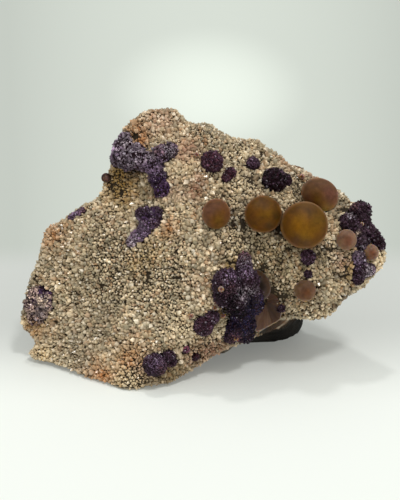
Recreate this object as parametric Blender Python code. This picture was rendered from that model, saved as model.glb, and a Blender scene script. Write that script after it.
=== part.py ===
"""Globular fluorite on drusy quartz: honey, mauve and purple balls grown on a broken slab.

Places on the drusy face are (right, up, out) in millimetres. The face leans back, so
"out" points forwards and a little upwards. The stone stands on the floor, z = 0.
"""

import math

import bmesh
import bpy
import numpy as np
from mathutils import Euler, Matrix, Vector, geometry

MM = 0.001
LEAN = math.radians(22)
STONE_SHIFT = np.array([1.2, -31.1, 0.0])
SEED = 11

# The drusy face: its broken outline, anticlockwise from the right-hand tip
RIM = np.array([
    (65, 46, -7), (65.5, 51, -9), (61.5, 55.5, -11), (59.5, 60.5, -12), (57, 65.5, -13),
    (53.5, 68.5, -14), (50.5, 71.5, -14), (46, 74.5, -15), (41.5, 77, -15), (36.5, 79, -15),
    (32, 80.5, -15), (29, 83.5, -14.5), (26, 86.5, -14), (22, 88.5, -14), (19, 91, -13),
    (15.5, 91, -13), (10, 90.5, -12.5), (6, 91.5, -12), (2, 94, -11), (-2, 96, -11), (-6, 97, -10),
    (-9, 100, -10), (-11.5, 102, -10), (-16.5, 102, -10), (-21.5, 101.5, -10), (-26, 98.5, -10),
    (-29.5, 95, -11), (-31, 90.5, -12), (-33.5, 86, -13), (-34, 81, -14), (-36.5, 76, -15),
    (-37.5, 72.5, -15), (-40.5, 69, -15.5), (-45, 67, -16), (-49.5, 64, -17), (-53.5, 61, -18),
    (-58, 58, -18.5), (-59.5, 54, -19), (-61, 49, -19), (-62.5, 44.5, -19), (-64.5, 40.5, -19),
    (-66, 35.5, -19), (-67, 30, -19.5), (-68, 25.5, -20), (-67.5, 22, -20.5), (-65, 19.5, -21),
    (-63, 17, -21), (-63.5, 14, -21.5), (-65, 12, -21.5), (-63, 10, -20.5), (-58, 9, -18.5),
    (-53, 8, -15.5), (-47.5, 6, -12), (-42, 4, -8.5), (-36.5, 3, -5.5), (-33, 1.5, -2.5),
    (-29, 0.5, 0), (-25, 0.5, 0), (-20, 2, -0.5), (-14, 2.5, -2), (-10, 4.5, -4), (-5.5, 7, -6),
    (-0.5, 10, -8), (4, 13, -9), (8.5, 15.5, -9.5), (14, 17.5, -10), (19.5, 20.5, -10),
    (24.5, 24.5, -9.5), (29.5, 26, -9), (34.5, 26, -8), (39.5, 25.5, -7), (44, 26.5, -6.5),
    (47.5, 29, -6), (50.5, 33, -6), (56, 37, -6), (61, 41.5, -6.5)], float)

# Its relief: the big left plane, the crest beside the dark cluster, the recess and the ball field
RELIEF = np.array([
    (-34.5, 39.5, -7), (-46, 32, -11), (-49.5, 50.5, -13), (-23.5, 22, 0), (-34.5, 16, -4),
    (-45.5, 16, -9), (-12.5, 32.5, 2), (-20, 46, -2), (-34.5, 56, -9), (-23.5, 11, 1), (-2, 55, 4),
    (7, 47.5, 5), (3, 36.5, 6), (-5.5, 21, 4), (-14, 15, 3), (-20, 6.5, 1), (3.5, 22, 1),
    (12.5, 25.5, -2), (20.5, 32.5, -2), (-9, 63, 0), (-14.5, 75, -4), (-23.5, 70.5, -9),
    (-31, 74, -13), (-20, 87, -5), (-27.5, 85.5, -9), (-9, 87, -3), (-18, 96, -8), (-2, 90.5, -7),
    (4, 63.5, 1), (21, 63.5, 1), (35.5, 59.5, 0), (26, 76, -6), (2.5, 83, -4), (17, 82.5, -8),
    (11, 70.5, -1), (42, 71, -8), (50.5, 54, -2), (58.5, 50.5, -5), (36.5, 48, 1), (36, 36, -1),
    (27, 40, 0), (18, 50.5, 3), (50.5, 41.5, -2), (41.5, 30.5, -3), (53, 61.5, -7), (12.5, 59.5, 3)], float)
RELIEF_SOFTNESS = 15.0

# Quartz crystals fused to the face
CRYSTAL_PITCH = 4.8
CRYSTAL_HEIGHT = 1.7
CRYSTAL_SIZES = (0.6, 1.25)
CRYSTAL_JITTER = 0.28
RIM_CLEARANCE = 1.1
NET_STEPS = 60

# Broken back: the heart of the stone, and the planes it parted on as (compass, tilt, point on the plane),
# first those of the wide slab, then those of the peak that rises from it
HEART = np.array([-2.0, 45.0, 34.0])
FOOT = {"towards": np.array([29.0, 49.0, 0.5]), "swell": 9.0, "spread": 0.24}
SLAB_BREAKS = [
    (90, 4, (0, 64, 30)), (118, 2, (-30, 62, 30)), (62, -6, (30, 60, 40)), (150, -5, (-64, 34, 20)),
    (0, -35, (61, 22, 36)), (30, -20, (64, 28, 42)), (-44, -55.5, (20, 17, 15.3)), (60, 50, (33, 45, 72)),
    (120, 50, (-50, 40, 53)), (35, 30, (60, 33, 50)), (75, -35, (10, 60, 8)), (135, -38, (-42, 58, 7)),
    (105, -12, (-14, 64, 22)), (48, 12, (44, 50, 46)), (165, -30, (-62, 36, 8)), (20, -50, (33, 52, 2))]
PEAK_BREAKS = [
    (90, 4, (0, 64, 30)), (90, 55, (-15, 47.5, 91)), (160, 12, (-37, 42, 68)), (100, 30, (-8, 62, 64)),
    (50, 48, (8, 46, 88)), (0, 0, (24, 50, 60)), (62, 20, (12, 58, 66)), (140, 30, (-27, 50, 80)),
    (180, -30, (-30, 50, 30)), (-90, -10, (0, 35, 40))]
BACK_POLE = (0.0, 1.0, -0.15)
BACK_RINGS = 8
RIM_BLEND = 0.13
RIM_SMOOTHING = 5

# The back's unevenness: two crossing waves, kept off the base, which is flat
BACK_ROUGHNESS = 0.6
BACK_WAVES = [((0.21, 0.09, 0.25), 0.0), ((-0.17, 0.13, 0.31), 1.7)]
ROUGH_FROM = 2.0
BASE_DEPTH = 0.8

# Fluorite: lobes of balls, each ball as (right, up, radius, height of its centre above the face)
HONEY = {
    "honey_sphere_large": [[(35.5, 59.5, 8.4, 3.8)]],
    "honey_sphere_back": [[(41.5, 71, 6.4, 2.2)]],
    "honey_sphere_middle": [[(20.7, 63.5, 6.6, 2.6)]],
    "honey_sphere_left": [[(4, 63.5, 5.1, 1.6)]],
    "mauve_sphere_low": [[(36, 36, 4.0, 0.8)]],
}
PURPLE = {
    "purple_ball_upper": [[(2.5, 82.5, 3.8, 1.2)]],
    "purple_ball_pair": [[(8.5, 78.5, 2.3, 0.6), (7.3, 76.3, 1.8, 0.4)]],
    "purple_ball_top": [[(17.5, 82, 2.3, 0.8)]],
    "purple_ball_centre": [[(24.5, 76.5, 4.2, 1.2), (28.5, 75.5, 2.9, 0.6)]],
    "purple_ball_right": [[(37, 48, 2.6, 0.8)]],
    "purple_balls_low": [[(-0.5, 23.5, 3.4, 1), (2.5, 26.6, 2.5, 1)]],
    "purple_ball_base": [[(-17.5, 10, 4.5, 1), (-13, 12.5, 2.3, 0.6), (-12, 10.5, 1.8, 0.4)]],
    "purple_crust_top": [
        [(-30.5, 89, 4.6, 1.5), (-32.5, 84, 2.9, 0.5), (-28, 84, 4.1, 1.5), (-24.5, 86, 3.9, 1.5),
         (-22.5, 82.5, 3.1, 1)],
        [(-20.5, 83, 2.9, 1), (-18, 83, 2.9, 1), (-15.5, 85.5, 3.1, 1), (-12.5, 86.5, 2.6, 0.5)],
        [(-18, 80, 3.1, 1), (-17, 76.5, 3.2, 1), (-15.5, 73, 2.9, 1)]],
    "purple_crust_middle": [
        [(-23, 63.5, 2.2, 0.5), (-20.5, 63.5, 2.7, 0.5), (-17.5, 63.5, 2.5, 0.5), (-18.5, 60.5, 2.4, 0.5),
         (-21, 60.5, 2.7, 0.8)],
        [(-22, 57.5, 2.5, 0.5), (-24.5, 55.5, 2.3, 0.3), (-26.5, 53.5, 1.9, 0.2)]],
    "purple_crust_left": [
        [(-61.5, 33, 4.1, -1), (-63, 30, 4, -1), (-62.5, 26, 3.5, -1), (-59.5, 31, 2.8, -0.8)]],
    "purple_streak": [[(-49.5, 63.2, 1.4, 0), (-48, 64, 1.5, 0), (-46.2, 65, 1.5, 0), (-44.8, 66, 1.4, 0)]],
    "dark_cluster": [
        [(14, 47.3, 2.3, 1.2), (14, 45, 2.7, 2)],
        [(8, 38.5, 5.2, 3.5), (14.5, 39.5, 4.5, 4), (17, 35, 4.2, 3), (6.5, 34, 3.4, 3),
         (12, 32.5, 4.7, 3.5)],
        [(12.5, 27.5, 3.4, 2), (12, 23.5, 4.5, 1), (9.5, 20, 3, 0.5), (14.5, 20, 3.2, 0.5)],
        [(18.5, 39, 5, 1), (20.5, 34.5, 3.9, 0.5)],
        [(23, 30.5, 4.6, 0.5), (20, 26, 4.6, 0), (25.5, 28, 3.2, 0)]],
    "right_cluster": [
        [(56.5, 65, 4.1, 2), (56.5, 61, 3.8, 2)],
        [(52, 60.5, 3.7, 1.5), (51.5, 54.5, 3.9, 1.5), (55, 57.5, 3.4, 1)],
        [(60, 58, 3, 2.5), (61.5, 55.5, 3, 1.5), (63, 52.5, 2.8, 1)],
        [(57.5, 53, 3.6, 0.8), (60, 50, 3.3, 1.2), (56.5, 48, 3.2, 0.6)],
        [(56.5, 43.5, 3, 0.6), (55.5, 40.5, 2.3, 0.3), (59.5, 43.5, 2.2, 0.3)]],
}
BEADS = {
    "bead_left_edge": (-37, 77.5, 1.6, 0.4), "bead_base_left": (-7, 15, 1.4, 0.3),
    "bead_base_right": (-3.5, 12, 1.4, 0.3), "bead_right": (37, 42, 1.5, 0.3),
}

# Facets of the balls by radius, the draw of every other corner of a rough one, and its turn about X, Y, Z
SMOOTH_LEVEL = 3
ROUND_LUMP = 4.5
LEAST_ROUND = 2.0
SPIKE = 0.07
TURN_RATES = (0.37, 0.61, 0.83)

# Sockets: clearance, and the share of the radius by which a coarse ball falls inside a fine one
SOCKET_GAP = 0.42
SOCKET_SAG = 0.05

# Cleaning after a cut: merge distance, angle taken as flat, least edge, corners in a loose crumb
WELD = 0.001
FLAT = math.radians(0.4)
SHORT_EDGE = 0.3
CRUMB = 12

# Colour and roughness of each piece
LOOKS = {
    "quartz_matrix": ((0.62, 0.56, 0.44), 0.35),
    "honey_sphere_large": ((0.55, 0.29, 0.05), 0.25),
    "honey_sphere_back": ((0.35, 0.19, 0.11), 0.3),
    "honey_sphere_middle": ((0.48, 0.28, 0.07), 0.25),
    "honey_sphere_left": ((0.32, 0.19, 0.08), 0.3),
    "mauve_sphere_low": ((0.32, 0.22, 0.19), 0.35),
    "purple_ball_upper": ((0.10, 0.06, 0.13), 0.4),
    "purple_ball_pair": ((0.08, 0.05, 0.10), 0.4),
    "purple_ball_top": ((0.11, 0.07, 0.14), 0.4),
    "purple_ball_centre": ((0.09, 0.06, 0.13), 0.4),
    "purple_ball_right": ((0.15, 0.09, 0.16), 0.4),
    "purple_balls_low": ((0.12, 0.08, 0.16), 0.45),
    "purple_ball_base": ((0.14, 0.09, 0.20), 0.45),
    "purple_crust_top": ((0.13, 0.08, 0.20), 0.45),
    "purple_crust_middle": ((0.16, 0.10, 0.21), 0.45),
    "purple_crust_left": ((0.24, 0.16, 0.22), 0.5),
    "purple_streak": ((0.14, 0.10, 0.16), 0.5),
    "dark_cluster": ((0.06, 0.05, 0.09), 0.35),
    "right_cluster": ((0.08, 0.05, 0.10), 0.4),
    "bead_left_edge": ((0.30, 0.21, 0.20), 0.35),
    "bead_base_left": ((0.12, 0.07, 0.14), 0.4),
    "bead_base_right": ((0.15, 0.08, 0.12), 0.4),
    "bead_right": ((0.16, 0.10, 0.14), 0.4),
}


def clear_scene():
    """Leave nothing in the scene but what is modelled here."""
    for old in list(bpy.data.objects):
        bpy.data.objects.remove(old, do_unlink=True)


def material(name):
    """The piece's own plain finish."""
    colour, roughness = LOOKS[name]
    made = bpy.data.materials.new(name + "_finish")
    made.use_nodes = True
    shader = made.node_tree.nodes["Principled BSDF"]
    shader.inputs["Base Color"].default_value = (*colour, 1)
    shader.inputs["Roughness"].default_value = roughness
    shader.inputs["Metallic"].default_value = 0.0
    return made


def from_face(places):
    """World places of (right, up, out) points on the leaning face."""
    right, up, out = np.asarray(places, float).T
    forward = up * math.sin(LEAN) - out * math.cos(LEAN)
    height = up * math.cos(LEAN) + out * math.sin(LEAN)
    return np.stack([right, forward, height], axis=1) + STONE_SHIFT


def fit_face(known):
    """Smooth sheet bent like a thin plate through the known depths; gives the depth at any (right, up)."""
    places, count = known[:, :2], len(known)

    def bend(a, b):
        """How much a thin plate pushed at b gives way at a."""
        squared = ((a[:, None, :] - b[None, :, :]) ** 2).sum(axis=2)
        return 0.5 * squared * np.log(np.maximum(squared, 1e-9))

    system = np.zeros((count + 3, count + 3))
    system[:count, :count] = bend(places, places) + RELIEF_SOFTNESS * np.eye(count)
    system[:count, count] = 1
    system[:count, count + 1:] = places
    system[count:, :count] = system[:count, count:].T
    weights = np.linalg.solve(system, np.append(known[:, 2], [0, 0, 0]))

    def depth(at):
        """How far out the face lies at (right, up) places."""
        at = np.atleast_2d(np.asarray(at, float))
        return bend(at, places) @ weights[:count] + weights[count] + at @ weights[count + 1:]

    return depth


def inside_rim(points, clearance):
    """True for the points inside the outline and further than the clearance from it."""
    start, end = RIM[:, :2], np.roll(RIM[:, :2], -1, axis=0)
    step = end - start
    reach = points[:, None, :] - start[None, :, :]
    along = np.clip((reach * step).sum(axis=2) / (step ** 2).sum(axis=1), 0, 1)
    gap = np.linalg.norm(reach - along[:, :, None] * step, axis=2).min(axis=1)
    crosses = (start[:, 1] > points[:, 1:]) != (end[:, 1] > points[:, 1:])
    rise = np.where(step[:, 1] == 0, 1e-9, step[:, 1])
    left_of = points[:, :1] < start[:, 0] + (points[:, 1:] - start[:, 1]) * step[:, 0] / rise
    return ((crosses & left_of).sum(axis=1) % 2 == 1) & (gap > clearance)


def crystal_net(depth, chance):
    """Hexagonal net over the face whose every third point is a crystal's tip."""
    step = CRYSTAL_PITCH / math.sqrt(3)
    column, row = np.meshgrid(np.arange(-NET_STEPS, NET_STEPS), np.arange(NET_STEPS))
    column, row = column.ravel(), row.ravel()
    points = np.stack([step * (column + 0.5 * row), step * row * math.sqrt(0.75)], axis=1)
    points += chance.uniform(-1, 1, points.shape) * CRYSTAL_JITTER * step
    is_tip = (column - row) % 3 == 0
    kept = inside_rim(points, RIM_CLEARANCE)
    points, is_tip = points[kept], is_tip[kept]
    rise = chance.uniform(*CRYSTAL_SIZES, len(points)) * CRYSTAL_HEIGHT
    return np.column_stack([points, depth(points) + np.where(is_tip, rise, 0)])


def rim_turn():
    """Directions and distances of the outline from the heart of the stone."""
    spokes = from_face(RIM) - STONE_SHIFT - HEART
    reach = np.linalg.norm(spokes, axis=1)
    return spokes / reach[:, None], reach


def along_normal(room, facing):
    """Distance to a plane at the given room, endless where the way doesn't face it."""
    faces = facing > 0
    return np.where(faces, room / np.where(faces, facing, 1), np.inf)


def to_floor(directions):
    """Distance from the heart to the floor in each direction."""
    return along_normal(HEART[2], -directions[:, 2])


def plane_reach(directions, breaks):
    """Distance from the heart to the nearest of the parting planes, or to the floor, in each direction."""
    reach = to_floor(directions)
    for compass, tilt, point in breaks:
        compass, tilt = math.radians(compass), math.radians(tilt)
        level = math.cos(tilt)
        normal = np.array([level * math.cos(compass), level * math.sin(compass), math.sin(tilt)])
        room = (np.array(point) - HEART) @ normal
        reach = np.minimum(reach, along_normal(room, directions @ normal))
    return reach


def break_reach(directions):
    """Distance from the heart to the broken skin of the slab, its peak and its foot."""
    reach = np.maximum(plane_reach(directions, SLAB_BREAKS), plane_reach(directions, PEAK_BREAKS))
    towards = FOOT["towards"] - HEART
    apart = np.arccos(np.clip(directions @ (towards / np.linalg.norm(towards)), -1, 1))
    reach += FOOT["swell"] * np.exp(-(apart / FOOT["spread"]) ** 2)
    return np.minimum(reach, to_floor(directions))


def broken_back():
    """Rings from the outline round to the back: the parting planes, eased into the outline."""
    start, reach = rim_turn()
    pole = np.array(BACK_POLE) / np.linalg.norm(BACK_POLE)
    turn = np.arccos(start @ pole)
    spare = reach - break_reach(start)
    smooth = sum(np.roll(spare, shift) for shift in range(-RIM_SMOOTHING, RIM_SMOOTHING + 1))
    smooth /= 2 * RIM_SMOOTHING + 1
    rings = []
    for ring in range(1, BACK_RINGS + 1):
        share = ring / (BACK_RINGS + 1)
        ways = np.sin((1 - share) * turn)[:, None] * start + np.sin(share * turn)[:, None] * pole
        ways /= np.linalg.norm(ways, axis=1)[:, None]
        far = break_reach(ways) + smooth * math.exp(-share / RIM_BLEND)
        points = HEART + ways * far[:, None]
        dents = BACK_ROUGHNESS * sum(1 + np.sin(points @ wave + start_at) for wave, start_at in BACK_WAVES)
        points -= ways * dents[:, None] * (points[:, 2:] > ROUGH_FROM)
        points[:, 2] = np.where(points[:, 2] < BASE_DEPTH, 0, points[:, 2])
        rings.append(points if ring == 1 else points[::2])
    tip = HEART + pole * break_reach(pole[None, :])[0]
    return np.concatenate(rings), tip


def band(near, far):
    """Triangles between two rings, the further with as many points or with half as many."""
    skin, count, ratio = [], len(near), len(near) // len(far)
    for i in range(count):
        j = (i + 1) % count
        a, b = far[i // ratio], far[(i // ratio + 1) % len(far)]
        skin.append((near[i], near[j], b if i % ratio else a))
        if i % ratio == 0:
            skin.append((near[j], b, a))
    return skin


def rock_mesh(depth):
    """Closed skin of the slab: crystals in front, broken rock behind, sharing the outline."""
    chance = np.random.default_rng(SEED)
    net = crystal_net(depth, chance)
    front = np.concatenate([RIM, net])
    count = len(RIM)
    flat = [Vector((x, y)) for x, y in front[:, :2]]
    edges = [(i, (i + 1) % count) for i in range(count)]
    places, _, faces, _, _, _ = geometry.delaunay_2d_cdt(flat, edges, [list(range(count))], 1, 1e-6)
    if len(places) != len(front):
        raise RuntimeError("the net doubled a point")
    back, tip = broken_back()
    points = np.concatenate([from_face(front), back + STONE_SHIFT, [tip + STONE_SHIFT]])
    skin = [tuple(face) for face in faces]
    loops, first = [list(range(count))], len(front)
    for ring in range(BACK_RINGS):
        size = count if ring == 0 else count // 2
        loops.append([first + i for i in range(size)])
        first += size
    for near, far in zip(loops, loops[1:]):
        skin += band(near, far)
    last = loops[-1]
    skin += [(last[i], last[(i + 1) % len(last)], first) for i in range(len(last))]
    return points * MM, skin


def link(name, mesh):
    """A new object of the mesh, in its piece's finish if it is a piece."""
    item = bpy.data.objects.new(name, mesh)
    if name in LOOKS:
        mesh.materials.append(material(name))
    bpy.context.scene.collection.objects.link(item)
    return item


def mesh_from(name, points, faces):
    """A mesh of the points and faces, turned outwards."""
    mesh = bpy.data.meshes.new(name)
    mesh.from_pydata([tuple(p) for p in points], [], faces)
    form = bmesh.new()
    form.from_mesh(mesh)
    bmesh.ops.recalc_face_normals(form, faces=form.faces)
    form.to_mesh(mesh)
    form.free()
    return mesh


def ball_mesh(name, depth, ball, level, turn, spike, grow=0.0):
    """One faceted ball on the face, with every other corner drawn in by the spike."""
    right, up, radius, height = ball
    middle = from_face([(right, up, depth([(right, up)])[0] + height)])[0] * MM
    tilt = Euler([turn * rate for rate in TURN_RATES]).to_matrix().to_4x4()
    place = Matrix.Translation(Vector(middle)) @ tilt
    form = bmesh.new()
    bmesh.ops.create_icosphere(form, subdivisions=level, radius=(radius + grow) * MM)
    for vert in list(form.verts)[::2]:
        vert.co *= 1 - spike
    form.transform(place)
    mesh = bpy.data.meshes.new(name)
    form.to_mesh(mesh)
    form.free()
    return mesh


def hull_mesh(name, meshes):
    """Closed convex skin round several meshes."""
    form = bmesh.new()
    for mesh in meshes:
        for corner in mesh.vertices:
            form.verts.new(corner.co)
    bmesh.ops.convex_hull(form, input=form.verts)
    bmesh.ops.delete(form, geom=[vert for vert in form.verts if not vert.link_faces], context="VERTS")
    hull = bpy.data.meshes.new(name)
    form.to_mesh(hull)
    form.free()
    return hull


def joined(name, meshes):
    """The meshes side by side in one, not yet united."""
    form = bmesh.new()
    for mesh in meshes:
        form.from_mesh(mesh)
    whole = bpy.data.meshes.new(name)
    form.to_mesh(whole)
    form.free()
    return whole


def bodies_of(form):
    """The separate bodies of a mesh, each a set of corners."""
    bodies, left = [], set(form.verts)
    while left:
        edge_of_body, body = [left.pop()], set()
        while edge_of_body:
            vert = edge_of_body.pop()
            body.add(vert)
            for side in vert.link_edges:
                other = side.other_vert(vert)
                if other in left:
                    left.remove(other)
                    edge_of_body.append(other)
        bodies.append(body)
    return bodies


def collapse_short_edges(form):
    """Collapse each short edge whose ends share just two neighbours, so that the skin stays closed."""
    for edge in sorted(form.edges, key=lambda edge: edge.calc_length()):
        if not edge.is_valid or edge.calc_length() > SHORT_EDGE * MM:
            continue
        start, end = edge.verts
        around = [{side.other_vert(vert) for side in vert.link_edges} for vert in (start, end)]
        if len(around[0] & around[1]) == 2:
            bmesh.ops.pointmerge(form, verts=[start, end], merge_co=(start.co + end.co) / 2)


def settle(item):
    """Apply the modifiers, merge what lies flat, and drop crumbs cut loose from the largest body."""
    shown = item.evaluated_get(bpy.context.evaluated_depsgraph_get())
    form = bmesh.new()
    form.from_mesh(shown.to_mesh())
    shown.to_mesh_clear()
    item.modifiers.clear()
    bmesh.ops.remove_doubles(form, verts=form.verts, dist=WELD * MM)
    bmesh.ops.dissolve_limit(form, angle_limit=FLAT, verts=form.verts, edges=form.edges)
    bmesh.ops.triangulate(form, faces=form.faces)
    bodies = bodies_of(form)
    largest = max(bodies, key=len)
    for body in bodies:
        if body is largest:
            continue
        if len(body) > CRUMB:
            place = [round(sum(v.co[i] for v in body) / len(body) / MM) for i in range(3)]
            raise RuntimeError(f"{item.name} comes apart: {len(body)} corners stand alone near {place}")
        bmesh.ops.delete(form, geom=list(body), context="VERTS")
    collapse_short_edges(form)
    form.to_mesh(item.data)
    form.free()


def combine(item, operand_mesh, operation):
    """Boolean of an item with a mesh whose own parts may overlap."""
    other = link(item.name + "_cutter", operand_mesh)
    other.hide_render = True
    other.display_type = "WIRE"
    step = item.modifiers.new(operation.lower(), "BOOLEAN")
    step.operation = operation
    step.solver = "EXACT"
    step.use_self = True
    step.object = other
    settle(item)
    bpy.data.objects.remove(other, do_unlink=True)


def grow_fluorite(name, lobes, smooth, depth):
    """Join the balls of one growth into one solid, and give back the sockets they sit in."""
    chance = np.random.default_rng([SEED, *name.encode()])
    spike = 0.0 if smooth else SPIKE
    balls, sockets = [], []
    for number, lobe in enumerate(lobes):
        around = []
        for ball in lobe:
            alone = len(lobes) * len(lobe) == 1 and ball[2] > LEAST_ROUND
            level = 2 if ball[2] >= ROUND_LUMP or alone else 1
            turn = int(chance.integers(1000))
            shown = SMOOTH_LEVEL if smooth and ball[2] > ROUND_LUMP else level
            balls.append(ball_mesh(name, depth, ball, shown, turn, spike))
            gap = SOCKET_GAP + (SOCKET_SAG * ball[2] if smooth else 0)
            around.append(ball_mesh(name, depth, ball, level, turn, spike, gap))
        sockets.append(hull_mesh(f"{name}_socket_{number}", around))
    item = link(name, balls[0])
    if len(balls) > 1:
        combine(item, joined(name, balls[1:]), "UNION")
    return sockets


def build():
    """The balls and crusts first, then the slab with a socket cut for each."""
    clear_scene()
    depth = fit_face(np.concatenate([RIM, RELIEF]))
    sockets = []
    for name, lobes in HONEY.items():
        sockets += grow_fluorite(name, lobes, True, depth)
    for name, lobes in PURPLE.items():
        sockets += grow_fluorite(name, lobes, False, depth)
    for name, bead in BEADS.items():
        sockets += grow_fluorite(name, [[bead]], False, depth)
    rock = link("quartz_matrix", mesh_from("quartz_matrix", *rock_mesh(depth)))
    combine(rock, joined("sockets", sockets), "DIFFERENCE")


build()
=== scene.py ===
import math

import bpy
import numpy as np
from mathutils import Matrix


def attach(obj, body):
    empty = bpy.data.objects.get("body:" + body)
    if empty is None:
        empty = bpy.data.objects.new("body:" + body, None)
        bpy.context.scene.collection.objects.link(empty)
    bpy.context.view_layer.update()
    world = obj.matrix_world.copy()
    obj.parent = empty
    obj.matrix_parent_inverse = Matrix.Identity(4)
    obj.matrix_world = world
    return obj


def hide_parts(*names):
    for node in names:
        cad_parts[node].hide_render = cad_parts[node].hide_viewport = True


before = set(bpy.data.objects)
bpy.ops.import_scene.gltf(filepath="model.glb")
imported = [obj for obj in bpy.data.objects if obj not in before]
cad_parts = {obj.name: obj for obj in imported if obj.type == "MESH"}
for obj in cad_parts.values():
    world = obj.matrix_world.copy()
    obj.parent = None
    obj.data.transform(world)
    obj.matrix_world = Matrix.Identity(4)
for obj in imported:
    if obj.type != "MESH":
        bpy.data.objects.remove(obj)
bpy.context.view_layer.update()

# The slab is one broken piece of brown vein rock with quartz grown over its front. Its face leans
# back, so places on it are (right, up, out) in millimetres. Behind, it parted along flat breaks,
# and it rests on the lowest of them.
MM = 0.001
LEAN = math.radians(22)
STONE_SHIFT = np.array([1.2, -31.1, 0.0])

# The face's broken outline, anticlockwise from the right-hand tip
RIM = np.array([
    (65, 46, -7), (65.5, 51, -9), (61.5, 55.5, -11), (59.5, 60.5, -12), (57, 65.5, -13),
    (53.5, 68.5, -14), (50.5, 71.5, -14), (46, 74.5, -15), (41.5, 77, -15), (36.5, 79, -15),
    (32, 80.5, -15), (29, 83.5, -14.5), (26, 86.5, -14), (22, 88.5, -14), (19, 91, -13),
    (15.5, 91, -13), (10, 90.5, -12.5), (6, 91.5, -12), (2, 94, -11), (-2, 96, -11), (-6, 97, -10),
    (-9, 100, -10), (-11.5, 102, -10), (-16.5, 102, -10), (-21.5, 101.5, -10), (-26, 98.5, -10),
    (-29.5, 95, -11), (-31, 90.5, -12), (-33.5, 86, -13), (-34, 81, -14), (-36.5, 76, -15),
    (-37.5, 72.5, -15), (-40.5, 69, -15.5), (-45, 67, -16), (-49.5, 64, -17), (-53.5, 61, -18),
    (-58, 58, -18.5), (-59.5, 54, -19), (-61, 49, -19), (-62.5, 44.5, -19), (-64.5, 40.5, -19),
    (-66, 35.5, -19), (-67, 30, -19.5), (-68, 25.5, -20), (-67.5, 22, -20.5), (-65, 19.5, -21),
    (-63, 17, -21), (-63.5, 14, -21.5), (-65, 12, -21.5), (-63, 10, -20.5), (-58, 9, -18.5),
    (-53, 8, -15.5), (-47.5, 6, -12), (-42, 4, -8.5), (-36.5, 3, -5.5), (-33, 1.5, -2.5),
    (-29, 0.5, 0), (-25, 0.5, 0), (-20, 2, -0.5), (-14, 2.5, -2), (-10, 4.5, -4), (-5.5, 7, -6),
    (-0.5, 10, -8), (4, 13, -9), (8.5, 15.5, -9.5), (14, 17.5, -10), (19.5, 20.5, -10),
    (24.5, 24.5, -9.5), (29.5, 26, -9), (34.5, 26, -8), (39.5, 25.5, -7), (44, 26.5, -6.5),
    (47.5, 29, -6), (50.5, 33, -6), (56, 37, -6), (61, 41.5, -6.5)], float)

# The face's relief: the big left plane, the crest, the recess and the ball field
RELIEF = np.array([
    (-34.5, 39.5, -7), (-46, 32, -11), (-49.5, 50.5, -13), (-23.5, 22, 0), (-34.5, 16, -4),
    (-45.5, 16, -9), (-12.5, 32.5, 2), (-20, 46, -2), (-34.5, 56, -9), (-23.5, 11, 1), (-2, 55, 4),
    (7, 47.5, 5), (3, 36.5, 6), (-5.5, 21, 4), (-14, 15, 3), (-20, 6.5, 1), (3.5, 22, 1),
    (12.5, 25.5, -2), (20.5, 32.5, -2), (-9, 63, 0), (-14.5, 75, -4), (-23.5, 70.5, -9),
    (-31, 74, -13), (-20, 87, -5), (-27.5, 85.5, -9), (-9, 87, -3), (-18, 96, -8), (-2, 90.5, -7),
    (4, 63.5, 1), (21, 63.5, 1), (35.5, 59.5, 0), (26, 76, -6), (2.5, 83, -4), (17, 82.5, -8),
    (11, 70.5, -1), (42, 71, -8), (50.5, 54, -2), (58.5, 50.5, -5), (36.5, 48, 1), (36, 36, -1),
    (27, 40, 0), (18, 50.5, 3), (50.5, 41.5, -2), (41.5, 30.5, -3), (53, 61.5, -7), (12.5, 59.5, 3)], float)
RELIEF_SOFTNESS = 15.0

# The heart of the stone, the swelling of its foot towards a point, and the planes it parted on as
# (compass, tilt, point on the plane)
HEART = np.array([-2.0, 45.0, 34.0])
FOOT = {"towards": np.array([29.0, 49.0, 0.5]), "swell": 9.0, "spread": 0.24}
SLAB_BREAKS = [
    (90, 4, (0, 64, 30)), (118, 2, (-30, 62, 30)), (62, -6, (30, 60, 40)), (150, -5, (-64, 34, 20)),
    (0, -35, (61, 22, 36)), (30, -20, (64, 28, 42)), (-44, -55.5, (20, 17, 15.3)), (60, 50, (33, 45, 72)),
    (120, 50, (-50, 40, 53)), (35, 30, (60, 33, 50)), (75, -35, (10, 60, 8)), (135, -38, (-42, 58, 7)),
    (105, -12, (-14, 64, 22)), (48, 12, (44, 50, 46)), (165, -30, (-62, 36, 8)), (20, -50, (33, 52, 2))]
PEAK_BREAKS = [
    (90, 4, (0, 64, 30)), (90, 55, (-15, 47.5, 91)), (160, 12, (-37, 42, 68)), (100, 30, (-8, 62, 64)),
    (50, 48, (8, 46, 88)), (0, 0, (24, 50, 60)), (62, 20, (12, 58, 66)), (140, 30, (-27, 50, 80)),
    (180, -30, (-30, 50, 30)), (-90, -10, (0, 35, 40))]
BACK_POLE = np.array([0.0, 1.0, -0.15])
RIM_BLEND = 0.13
OWN_BLEND = 0.03
RIM_SMOOTHING = 5
BACK_ROUGHNESS = 0.6
BACK_GRIT = 0.25
BACK_WAVES = [((0.21, 0.09, 0.25), 0.0), ((-0.17, 0.13, 0.31), 1.7)]
BASE_DEPTH = 0.8

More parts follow.
